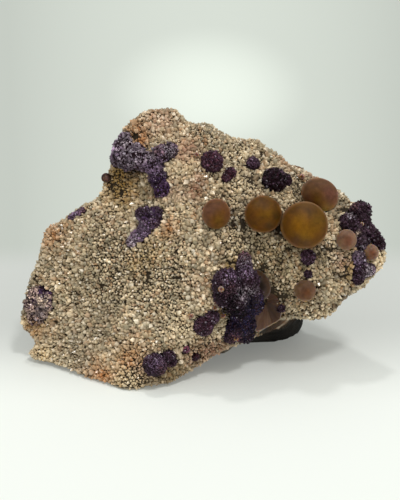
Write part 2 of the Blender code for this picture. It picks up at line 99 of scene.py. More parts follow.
# Fluorite sits in the face as balls (right, up, radius, height of the centre above the face). For
# each piece: the solid it stands for, and its balls. The slab is dimpled where each ball sits, with
# a gap round it.
GROWTHS = {
    "large_honey_ball": ("honey_sphere_large", [(35.5, 59.5, 8.4, 3.8)]),
    "back_honey_ball": ("honey_sphere_back", [(41.7, 70.6, 6.1, 2.2)]),
    "middle_honey_ball": ("honey_sphere_middle", [(20.8, 63.4, 6.7, 2.6)]),
    "left_honey_ball": ("honey_sphere_left", [(4, 63.5, 5.1, 1.6)]),
    "low_mauve_ball": ("mauve_sphere_low", [(36, 36, 4.0, 0.8)]),
    "right_mauve_balls": ("right_cluster", [(50.9, 54.3, 3.8, 1.5), (59.9, 49.7, 3.1, 1.6)]),
    "left_edge_bead": ("bead_left_edge", [(-36.4, 77.2, 1.8, 0.6)]),
    "brown_lens": ("dark_cluster", [(18.5, 38.2, 4.7, 1)]),
    "upper_purple_ball": ("purple_ball_upper", [(2.5, 82.5, 3.8, 1.2)]),
    "purple_pair": ("purple_ball_pair", [(9.2, 78.5, 1.9, 0.6), (7.6, 76.6, 1.6, 0.4)]),
    "top_purple_ball": ("purple_ball_top", [(17.5, 82, 2.3, 0.8)]),
    "centre_purple_ball": ("purple_ball_centre", [(25.2, 75.9, 4.3, 1.2), (29.0, 76.0, 2.4, 0.8)]),
    "right_purple_ball": ("purple_ball_right", [(37, 48, 2.6, 0.8)]),
    "low_purple_balls": ("purple_balls_low", [(-0.5, 23.5, 3.4, 1), (2.5, 26.6, 2.5, 1)]),
    "base_purple_ball": (
        "purple_ball_base", [(-17.9, 9.5, 4.1, 1), (-13, 12.5, 2.3, 0.6), (-12, 10.5, 1.8, 0.4)]),
    "top_crust": ("purple_crust_top", [
        (-29.4, 87.6, 3.9, 1.5), (-29.3, 91.2, 2.3, 1.0), (-31.7, 84, 2.9, 0.5), (-28, 84, 4.1, 1.5),
        (-24.5, 85.6, 3.5, 1.5), (-22.5, 82.5, 3.1, 1), (-20.5, 83, 2.9, 1), (-18, 83, 2.9, 1),
        (-15.5, 85.5, 3.1, 1), (-12.5, 86.5, 2.6, 0.5), (-18, 80, 3.1, 1), (-17, 76.5, 3.2, 1),
        (-15.5, 73, 2.9, 1)]),
    "middle_crust": ("purple_crust_middle", [
        (-23, 63.5, 2.2, 0.5), (-20.5, 63.5, 2.7, 0.5), (-17.5, 63.5, 2.5, 0.5), (-18.5, 60.5, 2.4, 0.5),
        (-21, 60.5, 2.7, 0.8), (-22, 57.5, 2.5, 0.5), (-24.5, 55.5, 2.3, 0.3), (-26.5, 53.5, 1.9, 0.2)]),
    "left_crust": ("purple_crust_left", [
        (-61.5, 33, 4.1, -1), (-63, 30, 4, -1), (-62.5, 26, 3.5, -1), (-59.5, 31, 2.8, -0.8),
        (-58.2, 33.0, 2.4, -0.3), (-58.0, 30.0, 2.3, -0.4), (-59.4, 27.4, 2.2, -0.5)]),
    "edge_streak": ("purple_streak", [
        (-49.6, 62.6, 1.0, 0.3), (-48.2, 63.5, 1.1, 0.3), (-46.6, 64.4, 1.1, 0.3), (-45, 65.4, 1.0, 0.3)]),
    "dark_crystals": ("dark_cluster", [
        (14, 47.3, 2.3, 1.2), (14, 45, 2.7, 2), (8, 38.5, 5.2, 3.5), (14.5, 39.5, 4.5, 4),
        (17, 35, 4.2, 3), (6.5, 34, 3.4, 3), (12, 32.5, 4.7, 3.5), (12.5, 27.5, 3.4, 2),
        (12, 23.5, 4.5, 1), (9.5, 20, 3, 0.5), (14.5, 20, 3.2, 0.5), (17.2, 31, 3.6, 2.2),
        (15.8, 27.4, 2.3, 1.8), (27.6, 29.4, 1.4, 0.9), (15.4, 23.5, 3.0, 1.0)]),
    "right_crystals": ("right_cluster", [
        (56.8, 64.5, 3.7, 2), (57, 61.2, 3.3, 2), (51.7, 60.5, 3.2, 1.5), (55, 57.5, 3.2, 1),
        (59.6, 57.8, 2.7, 2.2), (61.3, 55.8, 2.6, 1.7), (62.8, 53.8, 2.4, 1.2), (64.0, 52.2, 1.8, 0.9),
        (56.8, 53, 2.9, 0.8), (55.6, 47.8, 2.4, 0.6), (56.5, 43.5, 3, 0.6), (55.5, 40.5, 2.3, 0.3),
        (59.5, 43.5, 2.2, 0.3)]),
    "base_left_bead": ("bead_base_left", [(-7, 15, 1.4, 0.3)]),
    "base_right_bead": ("bead_base_right", [(-3.5, 12, 1.4, 0.3)]),
    "right_bead": ("bead_right", [(37, 42, 1.5, 0.3)]),
}
SOCKET_GAP = 0.4

# How finely the slab is modelled: spokes round it, and rows from the middle of the face to the
# outline and from there round the back
SPOKES = 480
FRONT_ROWS = 64
BACK_ROWS = 100
FACE_MIDDLE = np.array([-2.0, 45.0])

# The face under the druse: its roughness and the size of its lumps, how deep it is sunk, and how late
# it turns to the outline's own depth
FACE_ROUGHNESS = 0.5
FACE_GRAIN = 1.6
FACE_SINK = 0.4
EDGE_PULL = 8

# Broken rock: plates of three sizes with how far each size stands out, and the rock's colours
PLATES = [(15.0, 1.7), (6.0, 0.75), (2.4, 0.32)]
# The face's own rock under the druse is dark brown, made darker still as painted shade for the gaps between
# the quartz points
ROCK_UNDER_AND_SHADE = np.array([0.034, 0.022, 0.011])
ROCK_DARK = np.array([0.062, 0.048, 0.036])
ROCK_BROWN = np.array([0.165, 0.120, 0.080])
ROCK_GREY = np.array([0.215, 0.190, 0.150])
RUST = np.array([0.270, 0.110, 0.035])
VEIN = np.array([0.400, 0.350, 0.270])
VEIN_WAYS = [((0.012, 0.008, 0.030), 26), ((-0.020, 0.010, 0.012), 226)]
VEIN_THINNEST = 0.026
VEIN_SWELL = 0.03

# The quartz shows as a pale crust a few millimetres deep behind the outline, but not on the bare edge below
# the cleaved fluorite, where the rock is painted darker as painted shade. The rock round the foot is
# painted near black as painted shade.
CRUST = np.array([0.400, 0.340, 0.250])
CRUST_DEPTH = 3.2
CRUST_FADE = 0.8
BARE_EDGE = np.array([21.0, 17.0, 13.0])
BARE_REACH = (8.5, 11.5)
FOOT_SHADE = (26, 20, 14)


def from_face(places):
    """World places of (right, up, out) points on the leaning face."""
    right, up, out = np.asarray(places, float).T
    forward = up * math.sin(LEAN) - out * math.cos(LEAN)
    height = up * math.cos(LEAN) + out * math.sin(LEAN)
    return np.stack([right, forward, height], axis=1) + STONE_SHIFT


def fit_face(known):
    """A smooth sheet bent like a thin plate through the known depths, as a function that gives the
    depth at any (right, up): the sum of each known place's bend, and a tilted plane."""
    places, count = known[:, :2], len(known)

    def bend(a, b):
        """How much a thin plate pushed at b gives way at a."""
        squared = ((a[:, None, :] - b[None, :, :]) ** 2).sum(axis=2)
        return 0.5 * squared * np.log(np.maximum(squared, 1e-9))

    system = np.zeros((count + 3, count + 3))
    system[:count, :count] = bend(places, places) + RELIEF_SOFTNESS * np.eye(count)
    system[:count, count] = 1
    system[:count, count + 1:] = places
    system[count:, :count] = system[:count, count:].T
    weights = np.linalg.solve(system, np.append(known[:, 2], [0, 0, 0]))

    def depth(at):
        """How far out the face lies at (right, up) places."""
        at = np.atleast_2d(np.asarray(at, float))
        return bend(at, places) @ weights[:count] + weights[count] + at @ weights[count + 1:]

    return depth


face_depth = fit_face(np.concatenate([RIM, RELIEF]))


def middle_of(ball):
    """The middle of a ball, at its own height above the face."""
    right, up, _, height = ball
    return np.array([right, up, face_depth([(right, up)])[0] + height])


def away_from(places, right, up):
    """How far over the face each of the places lies from (right, up)."""
    return np.hypot(places[:, 0] - right, places[:, 1] - up)


def unit(ways):
    """The ways, each made one long."""
    return ways / np.linalg.norm(ways, axis=1)[:, None]


def hashed(cells, seed):
    """A number from 0 to 1 for each whole-numbered cell: its three numbers times three primes, mixed."""
    mixed = (cells * np.array([374761393, 668265263, 2147483647])).sum(axis=-1) + seed * 1274126177
    mixed = (mixed ^ (mixed >> 13)) * 1274126177
    return ((mixed ^ (mixed >> 16)) & 0xFFFFFF) / 0xFFFFFF


def noise(points, size, seed):
    """Soft cloud from 0 to 1: hashed numbers at the corners of cubes of that size, eased between them."""
    low = np.floor(points / size).astype(np.int64)
    share = points / size - low
    share = share * share * (3 - 2 * share)
    total = np.zeros(len(points))
    for corner in np.ndindex(2, 2, 2):
        weight = np.where(corner, share, 1 - share).prod(axis=1)
        total += weight * hashed(low + corner, seed)
    return total


def plates(points, size, seed):
    """Broken plates from about -1 to 1: one seed lies at random in each cube of that size, and a point
    takes its height on the tilted plane through the seed nearest to it."""
    low = np.floor(points / size).astype(np.int64)
    nearest = np.full(len(points), np.inf)
    height = np.zeros(len(points))
    for step in np.ndindex(3, 3, 3):
        cell = low + step - 1
        seat = cell + np.stack([hashed(cell, seed + k) for k in range(3)], axis=1)
        tilt = np.stack([hashed(cell, seed + k) for k in range(3, 6)], axis=1) * 2 - 1
        gap = points / size - seat
        distance = (gap ** 2).sum(axis=1)
        nearer = distance < nearest
        nearest = np.where(nearer, distance, nearest)
        height = np.where(nearer, (gap * tilt).sum(axis=1), height)
    return height


def ease(value, start, end):
    """0 before the start, 1 past the end, and a smooth rise between."""
    share = np.clip((value - start) / (end - start), 0, 1)
    return share * share * (3 - 2 * share)


def mix(colours, other, share):
    """The colours turned towards another by a share at each point."""
    return colours + (other - colours) * np.asarray(share)[:, None]


def smooth_loop(corners, count):
    """Points at even steps round a closed line, and their places in it counted in corners: between two
    corners runs the cubic whose slope at each is half the step between its neighbours."""
    at = np.linspace(0, len(corners), count, endpoint=False)
    first = np.floor(at).astype(int)
    share = (at - first)[:, None]
    before, start, end, after = (corners[(first + k) % len(corners)] for k in (-1, 0, 1, 2))
    bend = (2 * start + (end - before) * share + (2 * before - 5 * start + 4 * end - after) * share ** 2
            + (3 * start - before - 3 * end + after) * share ** 3)
    return bend / 2, at


def along_normal(room, facing):
    """Distance to a plane at the given room, endless where the way doesn't face it."""
    faces = facing > 0
    return np.where(faces, room / np.where(faces, facing, 1), np.inf)


def to_floor(directions):
    """Distance from the heart to the floor in each direction."""
    return along_normal(HEART[2], -directions[:, 2])


def plane_reach(directions, breaks):
    """Distance from the heart to the nearest of the parting planes, or to the floor, in each direction."""
    reach = to_floor(directions)
    for compass, tilt, point in breaks:
        compass, tilt = math.radians(compass), math.radians(tilt)
        level = math.cos(tilt)
        normal = np.array([level * math.cos(compass), level * math.sin(compass), math.sin(tilt)])
        room = (np.array(point) - HEART) @ normal
        reach = np.minimum(reach, along_normal(room, directions @ normal))
    return reach


def break_reach(directions):
    """Distance from the heart to the broken skin of the slab, its peak and its foot."""
    reach = np.maximum(plane_reach(directions, SLAB_BREAKS), plane_reach(directions, PEAK_BREAKS))
    towards = FOOT["towards"] - HEART
    apart = np.arccos(np.clip(directions @ (towards / np.linalg.norm(towards)), -1, 1))
    reach += FOOT["swell"] * np.exp(-(apart / FOOT["spread"]) ** 2)
    return np.minimum(reach, to_floor(directions))


def dimpled(places):
    """Places on the face, pushed in under each ball: no further out than its underside and the gap."""
    out = places[:, 2].copy()
    for _, balls in GROWTHS.values():
        for ball in balls:
            across = away_from(places, *ball[:2])
            reach = ball[2] + SOCKET_GAP
            under = middle_of(ball)[2] - np.sqrt(np.maximum(reach ** 2 - across ** 2, 0))
            out = np.where(across < reach, np.minimum(out, under), out)
    return np.column_stack([places[:, :2], out])


def slab_front(rim):
    """Rows from the middle of the face to the outline: the points of straight spokes, raised to the
    face's depth, roughened by noise, and dimpled under the balls."""
    rows = []
    edge_fault = rim[:, 2] - face_depth(rim[:, :2])
    for share in np.linspace(0, 1, FRONT_ROWS + 1)[1:]:
        at = FACE_MIDDLE + (rim[:, :2] - FACE_MIDDLE) * share
        places = np.column_stack([at, face_depth(at) + edge_fault * share ** EDGE_PULL])
        if share < 1:
            places[:, 2] += FACE_ROUGHNESS * noise(places, FACE_GRAIN, 5) - FACE_SINK
            places = dimpled(places)
        rows.append(from_face(places))
    return np.array(rows)


def slab_back(rim, at):
    """Rows from the outline round to the back: the breaks' distance from the heart in ways that turn from
    the outline to the pole, less waves and broken plates, which fade at the outline and at the base."""
    spokes = from_face(rim) - STONE_SHIFT - HEART
    reach = np.linalg.norm(spokes, axis=1)
    start = spokes / reach[:, None]
    pole = BACK_POLE / np.linalg.norm(BACK_POLE)
    turn = np.arccos(start @ pole)
    coarse = from_face(RIM) - STONE_SHIFT - HEART
    coarse_reach = np.linalg.norm(coarse, axis=1)
    spare = coarse_reach - break_reach(coarse / coarse_reach[:, None])
    window = range(-RIM_SMOOTHING, RIM_SMOOTHING + 1)
    spare = sum(np.roll(spare, shift) for shift in window) / len(window)
    spare = np.interp(at, np.arange(len(RIM) + 1), np.append(spare, spare[0]))
    own = reach - break_reach(start) - spare
    rows = []
    for share in np.linspace(0, 1, BACK_ROWS + 2)[1:-1]:
        ways = np.sin((1 - share) * turn)[:, None] * start + np.sin(share * turn)[:, None] * pole
        ways = unit(ways)
        far = break_reach(ways) + spare * math.exp(-share / RIM_BLEND) + own * math.exp(-share / OWN_BLEND)
        points = HEART + ways * far[:, None]
        dents = BACK_ROUGHNESS * sum(1 + np.sin(points @ wave + begin) for wave, begin in BACK_WAVES)
        dents -= sum(height * plates(points, size, 40 + i) for i, (size, height) in enumerate(PLATES))
        dents -= BACK_GRIT * noise(points, 0.9, 71)
        points -= ways * (dents * ease(points[:, 2], 1.0, 6.0) * ease(share, 0.0, 0.08))[:, None]
        points[:, 2] = np.where(points[:, 2] < BASE_DEPTH, 0, points[:, 2])
        rows.append(points + STONE_SHIFT)
    tip = HEART + pole * break_reach(pole[None, :])[0] + STONE_SHIFT
    return np.array(rows), tip


def skin_faces(rows, columns):
    """Faces of a closed skin: a pole, rows of points each joined round, and the other pole."""
    this = np.arange(columns)
    after = (this + 1) % columns
    first = np.arange(rows - 1)[:, None] * columns + 1
    below = first + columns
    quads = np.stack([first + this, below + this, below + after, first + after], axis=-1)
    near = np.stack([0 * this, 1 + this, 1 + after], axis=-1)
    last = 1 + (rows - 1) * columns
    far = np.stack([last + after, last + this, 0 * this + rows * columns + 1], axis=-1)
    return [quads.reshape(-1, 4), near, far]


def rock_tones(points, behind):
    """Colours of the rock: brown and grey in clouds, rust in patches, thin pale veins, and the quartz
    crust's pale edge as far as it is deep, with painted shade on the bare edge below the fans and round the
    foot. Behind is how far a point lies past the outline."""
    cloud = 0.6 * noise(points, 13.0, 21) + 0.4 * noise(points, 4.0, 22)
    colours = mix(np.tile(ROCK_DARK, (len(points), 1)), ROCK_BROWN, ease(cloud, 0.3, 0.62))
    colours = mix(colours, ROCK_GREY, ease(noise(points, 9.0, 23), 0.55, 0.75) * 0.8)
    rust = ease(noise(points, 14.0, 24) + 0.35 * noise(points, 5.0, 25), 0.72, 1.05)
    colours = mix(colours, RUST, rust * 0.7)
    for way, seed in VEIN_WAYS:
        band = points @ np.array(way) + 1.5 * noise(points, 22.0, seed)
        band += 0.25 * noise(points, 5.0, seed + 1)
        off_middle = np.abs(band % 1 - 0.5)
        broken = ease(noise(points, 11.0, seed + 2), 0.42, 0.6)
        width = VEIN_THINNEST + VEIN_SWELL * noise(points, 6.0, seed + 3)
        colours = mix(colours, VEIN, (1 - ease(off_middle, 0.3 * width, width)) * broken * 0.85)
    edge = CRUST_DEPTH * (0.6 + 0.8 * noise(points, 5.0, 28))
    off_bare_shaded_edge = ease(np.linalg.norm(points - STONE_SHIFT - BARE_EDGE, axis=1), *BARE_REACH)
    edge *= off_bare_shaded_edge
    # Painted shade: the rock is darkened on the bare edge below the fans
    colours *= (0.2 + 0.8 * off_bare_shaded_edge)[:, None]
    colours = mix(colours, CRUST, 1 - ease(behind, edge, edge + CRUST_FADE))
    # Painted shade: the rock round the foot is darkened to near black
    foot = np.linalg.norm((points - STONE_SHIFT - FOOT["towards"]) / FOOT_SHADE, axis=1)
    colours *= (0.10 + 0.90 * ease(foot, 0.7, 1.3))[:, None]
    # Painted shade in part: the face under the druse takes the darkest brown
    colours[behind < 0] = ROCK_UNDER_AND_SHADE
    return colours * (0.7 + 0.6 * noise(points, 2.6, 29))[:, None]


class Wire:
    """One output of a material's node. Its + - * / with values or wires add Math nodes."""

    def __init__(self, tree, socket=None):
        self.tree = tree
        self.socket = socket

    def node(self, kind, settings=None, sockets=None, out=0):
        """A new node: its settings, then its sockets' values or wires, and the wire of one output."""
        made = self.tree.nodes.new(kind)
        for name, value in (settings or {}).items():
            setattr(made, name, value)
        for name, value in (sockets or {}).items():
            if isinstance(value, Wire):
                self.tree.links.new(value.socket, made.inputs[name])
            else:
                made.inputs[name].default_value = value
        return Wire(self.tree, made.outputs[out])

    def math(self, operation, first, second):
        """One Math node on two values or wires."""
        return self.node("ShaderNodeMath", {"operation": operation}, {0: first, 1: second})

    def __add__(self, other):
        return self.math("ADD", self, other)

    def __sub__(self, other):
        return self.math("SUBTRACT", self, other)

    def __rsub__(self, other):
        return self.math("SUBTRACT", other, self)

    def __mul__(self, other):
        return self.math("MULTIPLY", self, other)

    def __rtruediv__(self, other):
        return self.math("DIVIDE", other, self)

    __radd__ = __add__
    __rmul__ = __mul__

    def scaled(self, by):
        """A colour or vector times a value."""
        return self.node("ShaderNodeVectorMath", {"operation": "SCALE"}, {0: self, "Scale": by})


def finish(name, paint, absorbs=None):
    """A material whose shader gets the sockets that paint() gives, and whose inside absorbs light by a
    plain colour and density where one is given."""
    made = bpy.data.materials.new(name)
    made.use_nodes = True
    tree = made.node_tree
    shader = tree.nodes["Principled BSDF"]
    for socket, value in paint(Wire(tree)).items():
        if isinstance(value, Wire):
            tree.links.new(value.socket, shader.inputs[socket])
        else:
            shader.inputs[socket].default_value = value
    if absorbs:
        inside = tree.nodes.new("ShaderNodeVolumeAbsorption")
        inside.inputs["Color"].default_value = (*absorbs[0], 1)
        inside.inputs["Density"].default_value = absorbs[1]
        tree.links.new(inside.outputs[0], tree.nodes["Material Output"].inputs["Volume"])
    return made


def tone_of(start):
    """The piece's colours, stored at its points, with the painted light and shade some of them carry."""
    return start.node("ShaderNodeAttribute", {"attribute_name": "tone"}, out="Color")


def cloud_of(start, size, detail=4.0):
    """Noise whose lumps are about that many millimetres across."""
    place = start.node("ShaderNodeTexCoord", out="Object")
    sockets = {"Vector": place, "Scale": 1 / (size * MM), "Detail": detail}
    return start.node("ShaderNodeTexNoise", None, sockets)


def bump_of(start, height, strength, depth):
    """The shading of small relief of that depth in millimetres."""
    sockets = {"Height": height, "Strength": strength, "Distance": depth * MM}
    return start.node("ShaderNodeBump", None, sockets)


def add_piece(name, points, faces, made, node=None, tones=None, smooth=False):
    """A piece of the specimen, riding on the one body: a mesh of points in millimetres with its colours
    and finish, which replaces the solid of the given node."""
    mesh = bpy.data.meshes.new(name)
    corners = np.concatenate([group.ravel() for group in faces]).astype(np.int32)
    sizes = np.concatenate([np.full(len(group), group.shape[1]) for group in faces])
    mesh.vertices.add(len(points))
    mesh.vertices.foreach_set("co", (points * MM).astype(np.float32).ravel())
    mesh.loops.add(len(corners))
    mesh.loops.foreach_set("vertex_index", corners)
    mesh.polygons.add(len(sizes))
    mesh.polygons.foreach_set("loop_start", (np.cumsum(sizes) - sizes).astype(np.int32))
    mesh.update(calc_edges=True)
    if smooth:
        mesh.shade_smooth()
    else:
        mesh.shade_flat()
    if tones is not None:
        tone = mesh.attributes.new("tone", "FLOAT_COLOR", "POINT")
        opaque = np.column_stack([tones, np.ones(len(tones))])
        tone.data.foreach_set("color", opaque.astype(np.float32).ravel())
    mesh.materials.append(made)
    item = bpy.data.objects.new(name, mesh)
    bpy.context.scene.collection.objects.link(item)
    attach(item, "root")
    if node:
        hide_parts(node)


def rock_paint(start):
    """Dull broken rock: its tones flecked by fine noise, and a gritty relief."""
    fleck = cloud_of(start, 0.7, 6.0)
    grit = cloud_of(start, 0.35, 3.0)
    return {
        "Base Color": tone_of(start).scaled(0.25 + 0.9 * fleck + 0.6 * grit),
        "Roughness": 0.95 - 0.35 * grit,
        "Specular IOR Level": 0.25,
        "Normal": bump_of(start, fleck + grit, 0.7, 0.35),
    }


rim, rim_at = smooth_loop(RIM, SPOKES)
front = slab_front(rim)
back, back_tip = slab_back(rim, rim_at)
grid = np.concatenate([front, back])
middle = dimpled(np.array([[*FACE_MIDDLE, face_depth(FACE_MIDDLE)[0]]]))
slab_points = np.concatenate([from_face(middle), grid.reshape(-1, 3), [back_tip]])
# How far past the outline each point lies: -1 on the face, and well over any crust at the back's tip
steps = np.linalg.norm(np.diff(grid[FRONT_ROWS - 1:], axis=0), axis=2)
on_face = np.full((FRONT_ROWS - 1, SPOKES), -1.0)
behind = np.concatenate([on_face, np.zeros((1, SPOKES)), np.cumsum(steps, axis=0)])
behind = np.concatenate([[-1], behind.ravel(), [50]])
add_piece("broken_slab", slab_points, skin_faces(len(grid), SPOKES), finish("broken_rock", rock_paint),
          "quartz_matrix", rock_tones(slab_points, behind))

# The druse is a crust of small quartz points, grown close together over the whole face and a little
# round its edge. Each is a six-sided column with a pointed end, brightened at the tip as painted light and
# darkened towards the root as painted shade.
# It has a coarse and a fine layer: (spacing, half width, length, tilt, seed).
DRUSE_LAYERS = [(1.2, 0.62, 1.35, 0.42, 51), (0.86, 0.34, 0.7, 0.5, 52)]

# For each form of point: how high its shoulder lies, how skewed that is, and where the tip leans
POINT_FORMS = [(0.2, 0.12, (0.15, 0.0)), (0.05, 0.16, (0.0, 0.25)), (0.38, 0.08, (-0.2, 0.1))]

# Painted light and shade along a point: how bright it is at its root, at two places up its length, and at
# its tip
PAINTED_SHADE_AT = [-0.5, 0.0, 0.4, 1.0]
PAINTED_SHADE_ALONG = [0.0, 0.3, 0.9, 1.2]

# How far its bunches stand up, and where it is more open between them, which is also where the points lying
# low are painted darker as painted shade: (right, up, reach, strength)
CLUMP_HEIGHT = 1.1
HOLLOWS = [
    (22, 54, 16, 0.4), (36, 48, 16, 0.6), (24, 44, 12, 0.9), (12, 55, 7, 0.7), (44, 34, 12, 0.6),
    (21, 21.5, 5, 1), (-8, 40, 14, 0.2), (-29, 73, 8, 0.35), (50, 66, 8, 0.4), (-33, 55, 14, 0.2),
    (16, 73, 10, 0.5)]

# It keeps clear of the outline, and is two sheets, left and right of where they meet, so that neither
# has too many faces
RIM_CLEARANCE = 0.25
SHEETS_MEET = -12.0

# The colours of its points with each one's share, of the gaps between them, which is mixed in where the
# roots are darkened as painted shade, and of rusty patches
QUARTZ_TONES = np.array([
    (0.79, 0.627, 0.423), (0.61, 0.492, 0.321), (0.414, 0.352, 0.237), (0.965, 0.83, 0.632),
    (0.61, 0.415, 0.256)])
QUARTZ_SHARES = [0.34, 0.26, 0.16, 0.14, 0.10]
QUARTZ_GAP = np.array([0.150, 0.088, 0.036])
RUSTY = np.array([0.50, 0.25, 0.11])

# Where its points are finer or coarser: (right, up, reach, share)
SIZE_PATCHES = [(-30.6, 75, 6.5, -0.45), (-24, 3, 6, -0.45), (-48, 14, 15, 0.3), (-20, 20, 12, 0.1)]
# Where none grows, beside the cleaved fluorite: (right, up, reach)
BARE_PATCHES = [(23.0, 27.5, 4.7), (19.8, 24.5, 4.2), (26.4, 26.2, 1.9)]

# Stains in the quartz: (right, up, reach, colour, strength). The near-black marks are painted shade, in the
# gaps where the quartz meets the balls, beads and crusts, and four of the brown marks are painted shadow,
# under the fans, under the top crust and beside the bead on the quartz.
ORANGE = (0.60, 0.24, 0.07)
RED = (0.40, 0.12, 0.07)
PINK = (0.62, 0.38, 0.28)
OCHRE = (0.58, 0.36, 0.10)
CREAM = (1.0, 0.82, 0.55)
STRAW = (1.0, 0.76, 0.44)
# A brown stain colour, also used for painted shadow under the fans and the top crust and beside a bead
BROWN_STAIN_AND_SHADOW = (0.22, 0.12, 0.05)
OLIVE = (0.30, 0.22, 0.10)
UMBER = (0.58, 0.34, 0.11)
DRAB = (0.30, 0.24, 0.17)
# The near-black colour of painted shade in the gaps
PAINTED_SHADOW_BLACK = (0.02, 0.012, 0.012)
STAINS = [
    (-25.2, 94.5, 4, ORANGE, 0.7), (-23, 91, 3, ORANGE, 0.5), (-16.2, 97.5, 6, PINK, 0.6),
    (-6.1, 86.6, 4.5, RED, 0.6), (-12.6, 72.5, 5, PINK, 0.6), (-3.6, 71.5, 3, RED, 0.6),
    (-2.5, 76.5, 3, RED, 0.5), (-30.6, 75, 7, UMBER, 0.9), (-31, 79, 4, BROWN_STAIN_AND_SHADOW, 0.7),
    (-12.6, 58.3, 3.5, ORANGE, 0.6), (10.8, 43.5, 4, OCHRE, 0.9), (-25.2, 12.8, 6, ORANGE, 0.45),
    (-28.8, 3, 9, OCHRE, 0.6), (-40, 5, 7, ORANGE, 0.4), (-56.9, 56.5, 6, ORANGE, 0.6),
    (-62, 21, 5, ORANGE, 0.5), (54, 43.5, 4, OCHRE, 0.8), (50, 46.5, 4, PINK, 0.6),
    (3.6, 13.8, 6, RED, 0.55), (-3.6, 12.5, 4, RED, 0.5), (-18, 50, 5, OCHRE, 0.4),
    (-24.8, 45, 4, OCHRE, 0.5), (-7.9, 22.9, 5, CREAM, 0.8), (4.7, 22.5, 4, CREAM, 0.6),
    (-2, 38, 4, RED, 0.25), (-12, 6, 7, BROWN_STAIN_AND_SHADOW, 0.75), (-20, 2.5, 5, BROWN_STAIN_AND_SHADOW, 0.5),
    # Painted light in part: the cream marks on this line and the next two also pale the upper and right
    # field of the face, where it faces up towards the lamps
    (14, 84, 5, CREAM, 0.4), (30, 67, 5, CREAM, 0.5), (45, 61, 4, CREAM, 0.4), (8, 54, 6, CREAM, 0.35),
    (41, 78, 3, PINK, 0.6), (30, 82, 3, PINK, 0.4), (12, 74, 7, CREAM, 0.5), (22, 70, 6, CREAM, 0.4),
    (-10, 80, 6, CREAM, 0.35), (52, 61, 5, CREAM, 0.5), (61, 47, 4, CREAM, 0.6),
    (30, 44, 12, OLIVE, 0.45), (24, 52, 6, OLIVE, 0.4), (-46, 42, 14, OLIVE, 0.15),
    (21, 21.5, 4.5, BROWN_STAIN_AND_SHADOW, 1.2), (27, 24.5, 3, BROWN_STAIN_AND_SHADOW, 0.8), (-61, 12, 4, CREAM, 0.9),
    (-52, 8.5, 4, CREAM, 0.6), (-30, 4, 8, CREAM, 0.5), (64, 47, 4, CREAM, 0.8),
    (-62, 24, 4, OCHRE, 0.6), (-27, 79.5, 3, BROWN_STAIN_AND_SHADOW, 0.9), (-13.5, 87, 3.5, CREAM, 0.7),
    (-30.6, 72, 5, OCHRE, 0.5), (-12, 5, 5, OLIVE, 0.5), (-23.5, 90, 3, ORANGE, 0.6),
    (-9, 85, 3, PINK, 0.5), (-46, 16, 17, DRAB, 0.5), (9.5, 64.2, 1.1, PAINTED_SHADOW_BLACK, 1.6),
    (10.2, 59.7, 1.5, PAINTED_SHADOW_BLACK, 1.8), (26.0, 56.6, 1.9, PAINTED_SHADOW_BLACK, 1.9), (43.6, 64.9, 1.3, PAINTED_SHADOW_BLACK, 1.5),
    (25.5, 41, 2.5, PAINTED_SHADOW_BLACK, 0.7), (29, 36, 2, PAINTED_SHADOW_BLACK, 0.6), (-57, 33, 1.3, PAINTED_SHADOW_BLACK, 1.0),
    (7.4, 29.4, 1.8, PAINTED_SHADOW_BLACK, 1.6), (8.7, 26.9, 1.3, PAINTED_SHADOW_BLACK, 1.3), (4.9, 28.4, 1.0, BROWN_STAIN_AND_SHADOW, 1.3),
    (-25.6, 79.2, 1.7, PAINTED_SHADOW_BLACK, 1.4), (-23.4, 79.6, 1.3, PAINTED_SHADOW_BLACK, 1.2), (-32, 79.6, 3, OCHRE, 0.8),
    (-27.1, 10.2, 3.6, ORANGE, 0.8), (-37, 4.8, 4, ORANGE, 0.8), (-26.2, 4.5, 4.5, CREAM, 0.7),
    (-59.5, 11.5, 4.5, STRAW, 0.7), (-22.5, 7.5, 3, PINK, 0.6),
]


def inside_rim(points, clearance):
    """True for the points inside the outline and further than the clearance from it."""
    start, end = RIM[:, :2], np.roll(RIM[:, :2], -1, axis=0)
    step = end - start
    reach = points[:, None, :] - start[None, :, :]
    along = np.clip((reach * step).sum(axis=2) / (step ** 2).sum(axis=1), 0, 1)
    gap = np.linalg.norm(reach - along[:, :, None] * step, axis=2).min(axis=1)
    crosses = (start[:, 1] > points[:, 1:]) != (end[:, 1] > points[:, 1:])
    rise = np.where(step[:, 1] == 0, 1e-9, step[:, 1])
    left_of = points[:, :1] < start[:, 0] + (points[:, 1:] - start[:, 1]) * step[:, 0] / rise
    return ((crosses & left_of).sum(axis=1) % 2 == 1) & (gap > clearance)


def not_bare(points):
    """True for the places outside the bare patches."""
    clear = np.ones(len(points), bool)
    for right, up, reach in BARE_PATCHES:
        clear &= away_from(points, right, up) > reach
    return clear


def clear_of_growths(points, margin):
    """True for the places on the face outside every ball's footprint and the margin round it."""
    clear = np.ones(len(points), bool)
    for _, balls in GROWTHS.values():
        for right, up, radius, height in balls:
            footprint = math.sqrt(max(radius ** 2 - height ** 2, 0))
            clear &= away_from(points, right, up) > footprint + margin
    return clear & not_bare(points)


def net_over_face(pitch, chance):
    """A hexagonal net of places inside the outline, each shifted at random, away from the fluorite."""
    low = RIM[:, :2].min(axis=0)
    wide, tall = RIM[:, :2].max(axis=0) - low
    row_step = pitch * math.sqrt(0.75)
    column, row = np.meshgrid(np.arange(int(wide / pitch) + 1), np.arange(int(tall / row_step) + 1))
    places = low + np.column_stack([(column + 0.5 * (row % 2)).ravel() * pitch, row.ravel() * row_step])
    places += chance.uniform(-0.34, 0.34, places.shape) * pitch
    return places[inside_rim(places, RIM_CLEARANCE) & clear_of_growths(places, 0.25 * pitch)]


